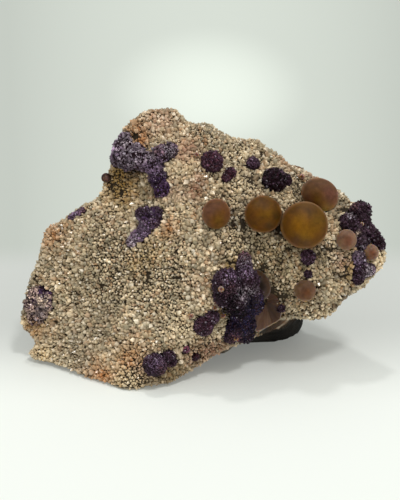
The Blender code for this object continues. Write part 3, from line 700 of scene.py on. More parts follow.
def outward(places, step=0.8):
    """The face's own outward direction at each place, from its slope."""
    here = face_depth(places)
    slope_right = (face_depth(places + (step, 0)) - here) / step
    slope_up = (face_depth(places + (0, step)) - here) / step
    return unit(np.column_stack([-slope_right, -slope_up, np.ones(len(places))]))


def quartz_form(shoulder, skew, lean):
    """A six-sided column with a pointed end: a root ring, a shoulder ring whose corners lie high and low by
    turns, and a tip off the middle. Its length is 1 and its half width 1."""
    turn = np.arange(6) * math.pi / 3
    ring = np.column_stack([np.cos(turn), np.sin(turn)])
    root = np.column_stack([ring * 0.72, np.full(6, -0.5)])
    upper = np.column_stack([ring, shoulder + skew * np.cos(3 * turn)])
    this = np.arange(6)
    after = (this + 1) % 6
    sides = np.column_stack([this, after, 6 + after, 6 + this])
    ends = np.column_stack([6 + this, 6 + after, np.full(6, 12)])
    return np.concatenate([root, upper, [(*lean, 1.0)]]), [sides, ends, this[None, ::-1]]


def planted(form, feet, axes, widths, lengths, chance):
    """Copies of a small form, one at each foot: across by its width and along by its length, its Z turned
    to its axis, and a random turn about that."""
    corners, faces = form
    side = unit(np.cross(axes, chance.normal(size=axes.shape)))
    other = np.cross(axes, side)
    x, y, z = (corners[:, k][None, :, None] for k in range(3))
    across = side[:, None] * x + other[:, None] * y
    points = feet[:, None] + widths[:, None, None] * across + lengths[:, None, None] * axes[:, None] * z
    first = (np.arange(len(feet)) * len(corners))[:, None, None]
    return points.reshape(-1, 3), [(first + group).reshape(-1, group.shape[1]) for group in faces]


def merged(parts):
    """Several (points, faces, tones) as one."""
    faces, first = [], 0
    for points, groups, _ in parts:
        faces += [group + first for group in groups]
        first += len(points)
    return np.concatenate([p for p, _, _ in parts]), faces, np.concatenate([t for _, _, t in parts])


def flat_noise(places, size, seed, level=0.0):
    """Noise read over the face, at one level of the clouds."""
    return noise(np.column_stack([places, np.full(len(places), level)]), size, seed)


def clumps(places):
    """How the druse bunches, from 0 in a hollow to 1 on a bunch: noise of two sizes."""
    bunch = 0.6 * flat_noise(places, 3.4, 35) + 0.4 * flat_noise(places, 1.7, 36)
    return np.clip(0.5 + 1.3 * (bunch - 0.5), 0, 1)


def hollowness(places):
    """How open the druse is round each place: more in the ball field than on the left plane."""
    open_share = np.full(len(places), 0.25)
    for right, up, reach, strength in HOLLOWS:
        away = away_from(places, right, up) / reach
        open_share += strength * np.exp(-away ** 2)
    return np.minimum(open_share, 1)


def quartz_tones(places, chance):
    """A colour for each quartz point: one of the druse's own at random, brighter or darker, darker still as
    painted shade where it lies low in an open hollow, and stained.
    """
    colours = QUARTZ_TONES[chance.choice(len(QUARTZ_TONES), len(places), p=QUARTZ_SHARES)]
    cloud = flat_noise(places, 9.0, 31)
    # Painted shade: points low between the bunches where the druse is open are darkened
    depth = 1 - 0.75 * hollowness(places) * (1 - ease(clumps(places), 0.15, 0.6))
    colours = colours * (chance.lognormal(0, 0.15, len(places)) * (0.84 + 0.32 * cloud) * depth)[:, None]
    rusty = ease(flat_noise(places, 1.9, 37, level=3.0), 0.74, 0.86)
    colours = mix(colours, RUSTY, 0.6 * rusty)
    for right, up, reach, stain, strength in STAINS:
        away = away_from(places, right, up) / reach
        share = strength * np.exp(-away ** 2) * chance.uniform(0.3, 1.3, len(places))
        colours = mix(colours, np.array(stain), np.clip(share, 0, 1))
    return colours


def quartz_crust(feet, ways, tones, widths, lengths, tilt, chance):
    """Quartz points of three forms at the feet, each leaning at random from its way."""
    axes = unit(ways + chance.normal(0, tilt, ways.shape))
    kind = chance.integers(0, len(POINT_FORMS), len(feet))
    parts = []
    for number, values in enumerate(POINT_FORMS):
        form = quartz_form(*values)
        pick = kind == number
        points, faces = planted(form, feet[pick], axes[pick], widths[pick], lengths[pick], chance)
        # Painted light and shade: each point is darkened towards its root and brightened at its tip, with
        # the gap colour mixed in low down
        painted_shade = np.interp(form[0][:, 2], PAINTED_SHADE_AT, PAINTED_SHADE_ALONG)[None, :, None]
        colours = tones[pick][:, None] * painted_shade + QUARTZ_GAP * np.maximum(0.9 - painted_shade, 0)
        parts.append((points, faces, colours.reshape(-1, 3)))
    return merged(parts)


def quartz_paint(start):
    """Glassy quartz: pale and dark by its tones, which carry painted light at the tips and painted shade at
    the roots, glossy, a little cloudy inside.
    """
    cloud = cloud_of(start, 0.5, 3.0)
    return {
        "Base Color": tone_of(start).scaled(0.8 + 0.4 * cloud),
        "Roughness": 0.08 + 0.3 * cloud,
        "IOR": 1.54,
        "Specular IOR Level": 0.5,
    }


def druse(on_right, pitch, width, length, tilt, seed):
    """One layer of the druse on one side of where the two sheets meet."""
    chance = np.random.default_rng(seed)
    places = net_over_face(pitch, chance)
    sizes = 0.75 + 0.5 * flat_noise(places, 12.0, 33)
    sizes *= chance.lognormal(0, 0.2, len(places))
    for right, up, reach, share in SIZE_PATCHES:
        sizes *= 1 + share * np.exp(-(away_from(places, right, up) / reach) ** 2)
    tones = quartz_tones(places, chance)
    ways = outward(places)
    bunch = clumps(places)
    opened = hollowness(places)
    feet = np.column_stack([places, face_depth(places) + CLUMP_HEIGHT * opened * (bunch - 0.7)])
    picked = bunch > 0.3 * opened * chance.uniform(0.3, 1.2, len(places))
    picked &= (places[:, 0] > SHEETS_MEET) == on_right
    widths, lengths = width * sizes[picked], length * sizes[picked]
    return quartz_crust(feet[picked], ways[picked], tones[picked], widths, lengths, tilt, chance)


def above_floor(points):
    """The points, with those below the floor raised to it."""
    return np.maximum(points, (-np.inf, -np.inf, 0))


quartz = finish("drusy_quartz", quartz_paint)
for name, on_right in (("druse_left", False), ("druse_right", True)):
    points, faces, colours = merged([druse(on_right, *layer) for layer in DRUSE_LAYERS])
    add_piece(name, above_floor(from_face(points)), faces, quartz, tones=colours)

# Round the edge: how many points, their rows counted from the outline with each row's share, their half
# width, length and tilt, and how far above the floor they stop
EDGE_COUNT = 4200
EDGE_ROWS = [-1, 0, 1, 2, 3, 4]
EDGE_SHARES = [0.25, 0.25, 0.2, 0.14, 0.1, 0.06]
EDGE_WIDTH = 0.45
EDGE_LENGTH = 0.75
EDGE_TILT = 0.4
EDGE_CLEARANCE = 1.6


def edge_druse(seed):
    """Smaller quartz points round the outline and just behind it, each standing outwards from a random
    spot of the slab's skin."""
    chance = np.random.default_rng(seed)
    row = FRONT_ROWS - 1 + chance.choice(EDGE_ROWS, EDGE_COUNT, p=EDGE_SHARES)
    column = chance.integers(0, SPOKES, len(row))
    share = chance.uniform(0, 1, (2, len(row), 1))
    feet = grid[row, column] + share[0] * (grid[row + 1, column] - grid[row, column])
    feet += share[1] * (grid[row, (column + 1) % SPOKES] - grid[row, column])
    down = grid[row + 1, column] - grid[row - 1, column]
    along = grid[row, (column + 1) % SPOKES] - grid[row, column - 1]
    ways = unit(np.cross(down, along))
    places = rim[column, :2]
    tones = quartz_tones(places, chance) * 0.9
    sizes = chance.lognormal(0, 0.25, len(row))
    kept = (feet[:, 2] > EDGE_CLEARANCE) & not_bare(places)
    widths, lengths = EDGE_WIDTH * sizes[kept], EDGE_LENGTH * sizes[kept]
    return quartz_crust(feet[kept], ways[kept], tones[kept], widths, lengths, EDGE_TILT, chance)


points, faces, colours = edge_druse(53)
add_piece("druse_edge", above_floor(points), faces, quartz, tones=colours)

# The honey and mauve balls are fluorite grown as smooth globes with a frosted skin. Light passes
# through them, and their inside takes its colour out of it: (the colour left, how densely).
FLUORITE_IOR = 1.434
AMBER_INSIDE = ((0.75, 0.42, 0.12), 90)
BALL_ROWS = 60
BALL_COLUMNS = 110
BALL_UNEVENNESS = 0.04


def lump(ball, rows, columns, unevenness, seed, stretch=(0, 0, 0)):
    """A ball on the face, with its pole outwards: latitude and longitude at the radius, which noise makes
    uneven by a share of itself, stretched along a way."""
    middle, radius = middle_of(ball), ball[2]
    tilts = np.linspace(0, math.pi, rows + 2)[1:-1]
    turns = np.linspace(0, 2 * math.pi, columns, endpoint=False)
    tilt, turn = np.meshgrid(tilts, turns, indexing="ij")
    ways = np.stack([np.sin(tilt) * np.cos(turn), np.sin(tilt) * np.sin(turn), np.cos(tilt)], axis=-1)
    ways = np.concatenate([[(0, 0, 1)], ways.reshape(-1, 3), [(0, 0, -1)]])
    at = middle + ways * radius
    swell = noise(at, 0.8 * radius, seed) + 0.5 * noise(at, 0.3 * radius, seed + 1)
    offsets = ways * (radius * (1 + unevenness * (swell - 0.75)))[:, None]
    offsets += (offsets @ np.array(stretch))[:, None] * np.array(stretch)
    return middle + offsets, skin_faces(rows, columns)


def zoned(points, ball, core, rim_tone, painted_glow, patches):
    """Colours of a ball from its pole, which faces outwards, to its side: the core's colour turns into the
    rim's past half way; it is darker above as painted shade, a painted glow lies low, where the light comes
    out again, patches of other tints lie at places in radii from the middle, and a thin painted rim light
    runs round the side."""
    radius = ball[2]
    ways = unit(points - middle_of(ball))
    away = away_from(ways, 0, -0.12) + 0.3 * (noise(points, 0.45 * radius, 91) - 0.5)
    colours = mix(np.tile(core, (len(points), 1)), np.array(rim_tone), ease(away, 0.3, 0.8))
    # Painted light: a glow low on the ball, where light would come out again
    lit = ease(away, 0.62, 0.95) * ease(-ways[:, 1], 0.3, 0.9)
    colours = mix(colours, np.array(painted_glow), 0.8 * lit)
    for across, rise, reach, tint, strength in patches:
        near = np.exp(-(away_from(ways, across, rise) / reach) ** 2)
        colours = mix(colours, np.array(tint), np.clip(strength * near, 0, 1))
    # Painted light: a thin paler line round the side
    painted_rim_light = ease(away_from(ways, 0, 0), 0.88, 0.98)
    colours = mix(colours, colours * 1.4 + 0.05, painted_rim_light)
    mottle = (0.5 + 0.45 * noise(points, 0.22 * radius, 92) + 0.35 * noise(points, 1.0, 93)
              + 0.25 * noise(points, 0.5, 94))
    # Painted shade: the ball is darkened towards the top
    painted_top_shade = 1 - 0.24 * ease(ways[:, 1], -0.1, 0.8)
    return colours * (0.84 * mottle * painted_top_shade)[:, None]


def glassy_paint(clear, roughness, bloom):
    """Frosted fluorite: part clear and part milky, with a soft bloom at the edge and fine pits in the
    skin."""
    def paint(start):
        """What each socket of the skin gets."""
        pits = cloud_of(start, 0.5, 4.0)
        return {
            "Base Color": tone_of(start).scaled(0.75 + 0.5 * pits),
            "Roughness": roughness - 0.1 + 0.2 * pits,
            "IOR": FLUORITE_IOR,
            "Specular IOR Level": 0.06,
            "Transmission Weight": clear,
            "Subsurface Weight": 1.0,
            "Subsurface Radius": (1.0, 0.5, 0.15),
            "Subsurface Scale": 0.003,
            "Sheen Weight": bloom,
            "Sheen Roughness": 0.25,
            "Sheen Tint": (0.9, 0.6, 0.4, 1),
            "Normal": bump_of(start, pits, 0.35, 0.1),
        }
    return paint


# For each smooth piece: its slot, the colours of its core, rim and painted glow, its clearness, roughness
# and bloom. Some are drawn out along a way.
GLASSY = {
    "large_honey_ball": (
        "honey_fluorite", (0.31, 0.125, 0.001), (0.19, 0.072, 0.004), (0.22, 0.09, 0.005), 0.3, 0.6, 0.03),
    "middle_honey_ball": (
        "honey_fluorite", (0.22, 0.082, 0.001), (0.18, 0.068, 0.004), (0.16, 0.06, 0.005), 0.3, 0.6, 0.03),
    "back_honey_ball": (
        "honey_fluorite", (0.21, 0.078, 0.008), (0.22, 0.098, 0.042), (0.60, 0.30, 0.06), 0.3, 0.6, 0.05),
    "left_honey_ball": (
        "honey_fluorite", (0.24, 0.092, 0.010), (0.24, 0.098, 0.034), (0.19, 0.085, 0.01), 0.3, 0.6, 0.05),
    "low_mauve_ball": (
        "mauve_fluorite", (0.19, 0.082, 0.038), (0.24, 0.135, 0.080), (0.36, 0.22, 0.11), 0.25, 0.6, 0.1),
    "right_mauve_balls": (
        "mauve_fluorite", (0.26, 0.112, 0.065), (0.34, 0.200, 0.130), (0.36, 0.20, 0.11), 0.25, 0.6, 0.15),
    "left_edge_bead": (
        "mauve_fluorite", (0.22, 0.120, 0.090), (0.070, 0.034, 0.036), (0.28, 0.17, 0.11), 0.25, 0.6, 0.1),
    "brown_lens": (
        "mauve_fluorite", (0.018, 0.008, 0.004), (0.085, 0.046, 0.030), (0.05, 0.024, 0.012),
        0.25, 0.4, 0.04),
}
STRETCHES = {
    "back_honey_ball": (0.34, -0.18, 0), "left_honey_ball": (0.05, 0.3, 0),
    "large_honey_ball": (0.12, 0.0, 0), "brown_lens": (0.27, -0.47, 0),
}

# Patches of tint in the balls: (across, rise, reach) in radii, colour, strength
PATCHES = {
    "large_honey_ball": [
        (-0.2, 0.12, 0.34, (0.38, 0.17, 0.002), 0.8), (0.0, -0.42, 0.28, (0.40, 0.19, 0.004), 0.7),
        (-0.4, -0.72, 0.25, (0.16, 0.070, 0.022), 0.9), (0.05, -0.85, 0.25, (0.16, 0.070, 0.022), 0.8),
        (0.1, 0.8, 0.4, (0.20, 0.095, 0.020), 0.7), (0.55, 0.2, 0.35, (0.21, 0.115, 0.006), 0.6)],
    "middle_honey_ball": [
        (0.2, 0.1, 0.38, (0.28, 0.125, 0.002), 0.8), (0.68, -0.1, 0.26, (0.085, 0.046, 0.004), 0.8),
        (-0.6, -0.1, 0.34, (0.21, 0.075, 0.006), 0.7), (-0.3, 0.5, 0.25, (0.26, 0.135, 0.030), 0.6),
        (0.3, -0.6, 0.2, (0.12, 0.065, 0.012), 0.6)],
    "back_honey_ball": [
        (0.5, 0.0, 0.45, (0.25, 0.095, 0.062), 0.9), (-0.35, 0.3, 0.4, (0.19, 0.085, 0.022), 0.6),
        (-0.15, -0.2, 0.3, (0.24, 0.115, 0.008), 0.6), (0.25, -0.85, 0.35, (0.62, 0.33, 0.08), 0.9)],
    "left_honey_ball": [
        (-0.5, 0.25, 0.5, (0.25, 0.110, 0.062), 0.9), (0.2, -0.5, 0.4, (0.26, 0.125, 0.006), 0.8),
        (-0.75, -0.5, 0.3, (0.22, 0.100, 0.055), 0.7)],
    "low_mauve_ball": [
        (0.1, -0.2, 0.35, (0.24, 0.090, 0.030), 0.6), (-0.5, 0.3, 0.4, (0.26, 0.150, 0.090), 0.5)],
    "right_mauve_balls": [
        (0.1, 0.0, 0.3, (0.28, 0.105, 0.055), 0.6), (-0.5, -0.2, 0.4, (0.34, 0.210, 0.120), 0.5)],
}
for number, (name, look) in enumerate(GLASSY.items()):
    slot, core, rim_tone, painted_glow, clear, roughness, bloom = look
    node, balls = GROWTHS[name]
    stretch, patches = STRETCHES.get(name, (0, 0, 0)), PATCHES.get(name, ())
    parts = []
    for place, ball in enumerate(balls):
        seed = 60 + 7 * number + place
        points, faces = lump(ball, BALL_ROWS, BALL_COLUMNS, BALL_UNEVENNESS, seed, stretch)
        parts.append((points, faces, zoned(points, ball, core, rim_tone, painted_glow, patches)))
    points, faces, colours = merged(parts)
    made = finish(name + "_skin", glassy_paint(clear, roughness, bloom), AMBER_INSIDE)
    add_piece(name, from_face(points), faces, made, node, colours, smooth=True)

# Low on the right two brown balls are broken open, and show fibres that fan out from their middles.
# For each fan: where it starts (right, up), its height, its dark and light colour, and its reach by angle.
FANS = [
    ((21.6, 31.9), 1.7, (0.030, 0.013, 0.007), (0.090, 0.046, 0.030), [
        (-78, 8.9), (-73, 9.0), (-60, 9.0), (-48, 8.9), (-38, 8.0), (-28, 6.6), (-10, 5.6), (8, 5.0),
        (40, 4.2), (69, 3.4)]),
    ((22.1, 31.0), 2.0, (0.072, 0.035, 0.022), (0.190, 0.100, 0.068), [
        (-140, 5.0), (-130, 6.6), (-119, 9.6), (-108, 10.9), (-98, 9.9), (-88, 8.8), (-76, 8.2),
        (-72, 8.1)])]
FAN_EDGE = np.array([0.42, 0.33, 0.25])
FAN_DOME = 0.9
FAN_THICKNESS = 1.8
FAN_ROWS = 30
FAN_COLUMNS = 60


def closed_plate(top, thickness):
    """A plate under a sheet of rows and columns: the sheet, the same sheet lower, and walls round both."""
    rows, columns = top.shape[:2]
    under = top - (0, 0, thickness)
    upper = np.arange(rows * columns).reshape(rows, columns)
    lower = upper + rows * columns
    quads = np.stack([upper[:-1, :-1], upper[1:, :-1], upper[1:, 1:], upper[:-1, 1:]], axis=-1)
    quads = quads.reshape(-1, 4)
    ring = np.concatenate([upper[:-1, 0], upper[-1, :-1], upper[:0:-1, -1], upper[0, :0:-1]])
    after = np.roll(ring, -1)
    drop = lower[0, 0]
    walls = np.column_stack([after, ring, ring + drop, after + drop])
    return np.concatenate([top, under]).reshape(-1, 3), [quads, quads[:, ::-1] + drop, walls]


def fan(start, rise, dark, light, reaches, seed):
    """A broken-open ball: straight fibres from its start to its reach in each direction, gently domed,
    darkest at the start, with faint rings and a thin pale edge, and its underside darker as painted shade."""
    angles, far = np.array(reaches, float).T
    along, turn = np.meshgrid(
        np.linspace(0.05, 1, FAN_ROWS), np.linspace(angles[0], angles[-1], FAN_COLUMNS), indexing="ij")
    along, turn = along.ravel(), turn.ravel()
    reach = np.interp(turn, angles, far)
    fibres = flat_noise(np.column_stack([turn / 4.0, along * 1.2]), 1.0, seed)
    fine = flat_noise(np.column_stack([turn / 1.3, along * 2.0]), 1.0, seed + 1)
    rings = flat_noise(np.column_stack([along * 9, turn / 40]), 1.0, seed + 2)
    right = start[0] + reach * along * np.cos(np.radians(turn))
    up = start[1] + reach * along * np.sin(np.radians(turn))
    out = face_depth(np.column_stack([right, up])) + rise - FAN_DOME * along ** 2 + 0.16 * fibres
    top = np.column_stack([right, up, out]).reshape(FAN_ROWS, FAN_COLUMNS, 3)
    points, faces = closed_plate(top, FAN_THICKNESS)
    share = 0.15 + 0.75 * along + 0.5 * (fibres - 0.5) + 0.3 * (fine - 0.5) + 0.2 * (rings - 0.5)
    colours = mix(np.tile(dark, (len(share), 1)), np.array(light), np.clip(share, 0, 1))
    edge = ease(along, 0.94, 0.98) * ease(reach, 6.8, 7.6)
    colours = mix(colours, FAN_EDGE, 0.8 * edge)
    # Painted shade: the underside of the plate takes its colours darkened
    return points, faces, np.concatenate([colours, colours * 0.7])


points, faces, colours = merged([fan(*values, 300 + 10 * place) for place, values in enumerate(FANS)])
made = finish("cleaved_brown_balls_skin", glassy_paint(0.15, 0.5, 0.03), AMBER_INSIDE)
add_piece("cleaved_brown_balls", from_face(points), faces, made, "dark_cluster", colours)

# Tiny beads of fluorite sit on the crusts and the druse. Each has a brown eye in a pale ring of painted
# sheen, and
# stands about half out: (right, up, radius).
RINGED_BEADS = [
    (5.65, 36.85, 1.15), (6.55, 27.2, 1.1), (11.2, 18.7, 0.95), (-5.0, 27.0, 1.0), (-3.0, 85.0, 1.0),
    (35.5, 77.5, 1.1), (3.4, 29.9, 0.9), (56.9, 60.0, 0.8)]
BEAD_EYE = np.array([0.120, 0.055, 0.045])
BEAD_PAINTED_SHEEN = np.array([0.340, 0.235, 0.180])
BEAD_SIDE = np.array([0.150, 0.085, 0.060])
BEAD_LIFT = 0.6
BEAD_GRID = (16, 28)
BEAD_UNEVENNESS = 0.03
DRUSE_TOP = 1.3


def crust_top(right, up):
    """How high the outermost ball, or else the druse, stands over a place on the face."""
    highest = DRUSE_TOP
    ground = face_depth([(right, up)])[0]
    for _, balls in GROWTHS.values():
        for ball in balls:
            across = math.hypot(right - ball[0], up - ball[1])
            if across < ball[2]:
                height = middle_of(ball)[2] - ground
                highest = max(highest, height + math.sqrt(ball[2] ** 2 - across ** 2))
    return highest


def ringed_bead(bead, seed):
    """A tiny ball on the crust, with its eye, its ring of painted sheen and its side coloured by their
    distance from its pole.
    """
    right, up, radius = bead
    ball = (right, up, radius, crust_top(right, up) + BEAD_LIFT)
    points, faces = lump(ball, *BEAD_GRID, BEAD_UNEVENNESS, seed)
    away = away_from(points, right, up) / radius
    # Painted sheen: a pale ring round the brown eye
    colours = mix(np.tile(BEAD_EYE, (len(points), 1)), BEAD_PAINTED_SHEEN, ease(away, 0.35, 0.6))
    return points, faces, mix(colours, BEAD_SIDE, ease(away, 0.78, 0.98))


points, faces, colours = merged([ringed_bead(bead, 400 + place) for place, bead in enumerate(RINGED_BEADS)])
made = finish("ringed_beads_skin", glassy_paint(0.1, 0.5, 0.1), AMBER_INSIDE)
add_piece("ringed_beads", from_face(points), faces, made, None, colours, smooth=True)

# The purple fluorite is lumps crowded with small cubes, each with a corner outwards. They are near
# black to violet, lilac and silvery in places, darker as painted shade where they lie low or crowded, and a
# few carry a painted glint.
NIGHT = np.array([0.014, 0.004, 0.007])
VIOLET = np.array([0.100, 0.056, 0.088])
# The colour of the painted highlight, and the share of crystals that get it
PAINTED_GLINT = np.array([0.50, 0.44, 0.52])
PAINTED_GLINT_SHARE = 0.03
CRYSTAL_TILT = 0.28
LARGEST_CRYSTAL = 1.8
CORE_GRID = (18, 30)

# For each purple piece: spacing and half size of its crystals, how much the sizes differ, unevenness
GRAIN_OF = {
    "upper_purple_ball": (0.55, 0.36, 0.3, 0.06), "purple_pair": (0.5, 0.32, 0.3, 0.08),
    "top_purple_ball": (0.5, 0.32, 0.3, 0.06), "centre_purple_ball": (0.6, 0.42, 0.3, 0.06),
    "right_purple_ball": (0.5, 0.32, 0.3, 0.06), "low_purple_balls": (0.42, 0.26, 0.3, 0.08),
    "base_purple_ball": (0.45, 0.28, 0.3, 0.08), "top_crust": (0.62, 0.40, 0.3, 0.16),
    "middle_crust": (0.55, 0.36, 0.3, 0.12), "left_crust": (0.55, 0.36, 0.3, 0.1),
    "edge_streak": (0.45, 0.27, 0.3, 0.1), "dark_crystals": (0.40, 0.25, 0.3, 0.13),
    "right_crystals": (0.5, 0.32, 0.4, 0.12), "base_left_bead": (0.45, 0.26, 0.2, 0.05),
    "base_right_bead": (0.45, 0.26, 0.2, 0.05), "right_bead": (0.45, 0.26, 0.2, 0.05),
}

# Tints in the purple: (right, up, reach, colour, strength). The black marks on the dark crystals are
# painted shadow in the notches between their lumps, and the silvery marks are partly painted sheen.
LILAC = (0.30, 0.20, 0.32)
# A silvery tint, partly painted sheen
SILVER_AND_SHEEN = (0.46, 0.38, 0.42)
GREY_VIOLET = (0.24, 0.19, 0.23)
BLACK_AND_SHADOW = (0.004, 0.002, 0.003)
MAUVE = (0.20, 0.09, 0.10)
INDIGO = (0.016, 0.014, 0.044)
REDDISH = (0.085, 0.026, 0.034)
PALE = (0.85, 0.66, 0.52)
TAUPE = (0.56, 0.40, 0.34)
DEEP_VIOLET = (0.060, 0.028, 0.085)
RUSSET = (0.50, 0.16, 0.06)
WINE = (0.18, 0.05, 0.08)
EARTH = (0.32, 0.18, 0.09)
ASH = (0.42, 0.33, 0.33)
INK = (0.014, 0.003, 0.005)
SLOE = (0.014, 0.005, 0.008)
DUSK = (0.05, 0.03, 0.035)
PLUM = (0.05, 0.03, 0.05)
GARNET = (0.10, 0.03, 0.04)
BLOOMS = [
    (-27.7, 86.6, 9, GREY_VIOLET, 0.75), (-28.1, 88.5, 2.4, SILVER_AND_SHEEN, 0.8), (-23.8, 84.4, 2, SILVER_AND_SHEEN, 0.7),
    (-24.5, 86.0, 4, LILAC, 0.5), (-14.4, 84.8, 5, GREY_VIOLET, 0.7), (-15.5, 83.7, 2.6, LILAC, 0.7),
    (-17.3, 86.6, 3, MAUVE, 0.5), (-19.8, 81.2, 3, LILAC, 0.7), (-18.0, 78.3, 3, LILAC, 0.9),
    (-14.8, 76.5, 2, LILAC, 0.6), (-19.8, 56.0, 3, LILAC, 0.7), (-25.2, 53.5, 3, SILVER_AND_SHEEN, 0.8),
    (-16.9, 60.0, 2.5, MAUVE, 0.5), (-60.5, 29.5, 9.5, TAUPE, 2.0),
    (-59.3, 35.2, 2.3, DEEP_VIOLET, 2.0), (-62.8, 31.9, 1.2, DEEP_VIOLET, 1.6),
    (-57.2, 31.2, 1.3, DEEP_VIOLET, 1.6), (-59.9, 31.6, 2.1, PALE, 2.4),
    (-63.0, 23.6, 2.4, EARTH, 0.9), (-60.8, 26.8, 3.0, ASH, 0.9),
    (-26.5, 88, 6, SILVER_AND_SHEEN, 0.5), (-33, 87, 3, LILAC, 0.6), (-20.5, 84.5, 3, SILVER_AND_SHEEN, 0.5),
    (-12.5, 86.5, 2.4, SILVER_AND_SHEEN, 0.6), (55.3, 56.6, 1.0, PALE, 2.0), (8.3, 40.9, 2.6, LILAC, 1.0),
    (14.4, 49.9, 3, MAUVE, 1.0), (14.0, 46.3, 2.5, SILVER_AND_SHEEN, 0.7), (14.8, 43.4, 3, LILAC, 0.6),
    (13.7, 34.4, 3.2, SILVER_AND_SHEEN, 0.8), (17.3, 36.2, 2, SILVER_AND_SHEEN, 0.6), (7.2, 37.3, 3.5, MAUVE, 0.45),
    (18.0, 30.5, 4.5, INDIGO, 1.3), (13.0, 22.5, 6, INDIGO, 1.3), (10.8, 18.6, 2.6, MAUVE, 0.7),
    (3.0, 30.7, 1.4, RUSSET, 0.9), (-0.4, 23.6, 3.6, REDDISH, 0.5),
    (54.4, 67.5, 2.5, MAUVE, 0.9), (52.2, 63.2, 1.4, SILVER_AND_SHEEN, 0.7), (54.9, 45.9, 2.5, LILAC, 0.6),
    (59.4, 42.7, 2.2, SILVER_AND_SHEEN, 1.0), (2.5, 83.0, 4, REDDISH, 0.6), (8.0, 77.5, 3.5, REDDISH, 0.7),
    (24.5, 76.5, 7, INK, 1.2), (-47, 64.5, 4, LILAC, 0.8), (-45, 65.5, 2, MAUVE, 0.8),
    # Painted shadow: the black marks on this line and the next lie in the notches between the dark
    # crystals' lumps
    (12.8, 27.6, 2.4, BLACK_AND_SHADOW, 1.3), (10.0, 29.5, 2.0, BLACK_AND_SHADOW, 1.2), (9.5, 33.0, 2.2, BLACK_AND_SHADOW, 0.9),
    (15.8, 31.2, 2.0, BLACK_AND_SHADOW, 0.8), (11.8, 35.0, 1.2, BLACK_AND_SHADOW, 1.4), (13.4, 36.8, 1.1, BLACK_AND_SHADOW, 1.2),
    (24.5, 77.0, 5, BLACK_AND_SHADOW, 0.8), (-19.5, 60.5, 6, GREY_VIOLET, 0.4), (-21.5, 57.5, 3, LILAC, 0.5),
    (56, 60, 8, DUSK, 0.6), (56.5, 50, 5, GREY_VIOLET, 0.4),
    (62.5, 54.5, 3.4, SLOE, 1.2), (-17.5, 10.0, 3, LILAC, 0.7),
    (-15.0, 8.0, 2.5, MAUVE, 0.5), (-16, 74, 4, DEEP_VIOLET, 0.9), (-20, 62.5, 4, DEEP_VIOLET, 0.6),
    (-23.5, 55.5, 3, LILAC, 0.9), (3.5, 36, 5, PLUM, 0.6),
    (-7.0, 15.2, 1.8, WINE, 1.0), (-3.5, 12.0, 1.8, GARNET, 0.8),
]


def cube_form():
    """A cube standing on one corner: its long diagonal is the Z axis, and its corners lie 1 from its
    middle."""
    long = math.sqrt(1 / 3)
    corners = np.array(list(np.ndindex(2, 2, 2))) * 2.0 - 1
    rise = np.array([1, 1, 1]) * long
    side = np.array([1, -1, 0]) * math.sqrt(0.5)
    frame_of = np.array([side, np.cross(rise, side), rise])
    faces = np.array([(0, 1, 3, 2), (4, 6, 7, 5), (0, 4, 5, 1), (2, 3, 7, 6), (0, 2, 6, 4), (1, 5, 7, 3)])
    return corners @ frame_of.T * long, [faces]


def even_ways(count):
    """Directions spread evenly over a ball: equal steps of height, each turned by the golden angle."""
    number = np.arange(count) + 0.5
    height = 1 - 2 * number / count
    turn = number * math.pi * (3 - math.sqrt(5))
    flat = np.sqrt(1 - height ** 2)
    return np.column_stack([flat * np.cos(turn), flat * np.sin(turn), height])


def violet_tones(places, openness_for_painted_shade, chance):
    """A colour for each purple crystal: from near black to violet at random, tinted, a few with a painted
    glint, and darker as painted shade the less it stands clear of its neighbours."""
    colours = mix(np.tile(NIGHT, (len(places), 1)), VIOLET, chance.uniform(0, 1, len(places)) ** 1.3)
    for right, up, reach, tint, strength in BLOOMS:
        away = away_from(places, right, up) / reach
        share = strength * np.exp(-away ** 4) * 1.5 * chance.uniform(0, 1, len(places)) ** 1.5
        colours = mix(colours, np.array(tint), np.clip(share, 0, 1))
    patches = 0.6 + 0.8 * noise(places, 2.2, 97)
    # Painted highlight: a few crystals get a pale glint
    colours = mix(colours, PAINTED_GLINT, 0.45 * (chance.uniform(0, 1, len(places)) < PAINTED_GLINT_SHARE))
    return colours * (patches * chance.lognormal(0, 0.3, len(places)) * (0.15 + 1.0 * openness_for_painted_shade))[:, None]


def crystal_lump(balls, spacing, size, spread, unevenness, seed):
    """Uneven balls with cubes at even ways over them, wherever no other ball or rock covers the spot."""
    chance = np.random.default_rng(seed)
    parts, feet, axes, openness_for_painted_shade = [], [], [], []
    middles = np.array([middle_of(ball) for ball in balls])
    for number, ball in enumerate(balls):
        points, faces = lump(ball, *CORE_GRID, unevenness, seed)
        parts.append((points, faces, np.tile(NIGHT, (len(points), 1))))
        radius = ball[2]
        ways = even_ways(int(4 * math.pi * radius ** 2 / spacing ** 2))
        at = middles[number] + ways * radius * (1 + unevenness * chance.normal(0, 0.6, len(ways)))[:, None]
        above = at[:, 2] - face_depth(at[:, :2])
        free = above > -0.2
        # Painted shade: crystals low by the face or close to another ball are darkened
        clear = 0.4 + 0.6 * ease(above, 0.0, 0.45 * radius)
        for other, (_, _, reach, _) in enumerate(balls):
            if other != number:
                gap = np.linalg.norm(at - middles[other], axis=1) / reach
                free &= gap > 0.96
                clear = np.minimum(clear, ease(gap, 0.90, 1.22))
        feet.append(at[free])
        axes.append(ways[free])
        openness_for_painted_shade.append(clear[free] * chance.uniform(0.75, 1.25))
    feet, axes = np.concatenate(feet), np.concatenate(axes)
    axes = unit(axes + chance.normal(0, CRYSTAL_TILT, axes.shape))
    sizes = size * np.minimum(chance.lognormal(0, spread, len(feet)), LARGEST_CRYSTAL)
    colours = violet_tones(feet, np.concatenate(openness_for_painted_shade), chance)
    form = cube_form()
    points, faces = planted(form, feet, axes, sizes, sizes, chance)
    parts.append((points, faces, np.repeat(colours, len(form[0]), axis=0)))
    return merged(parts)


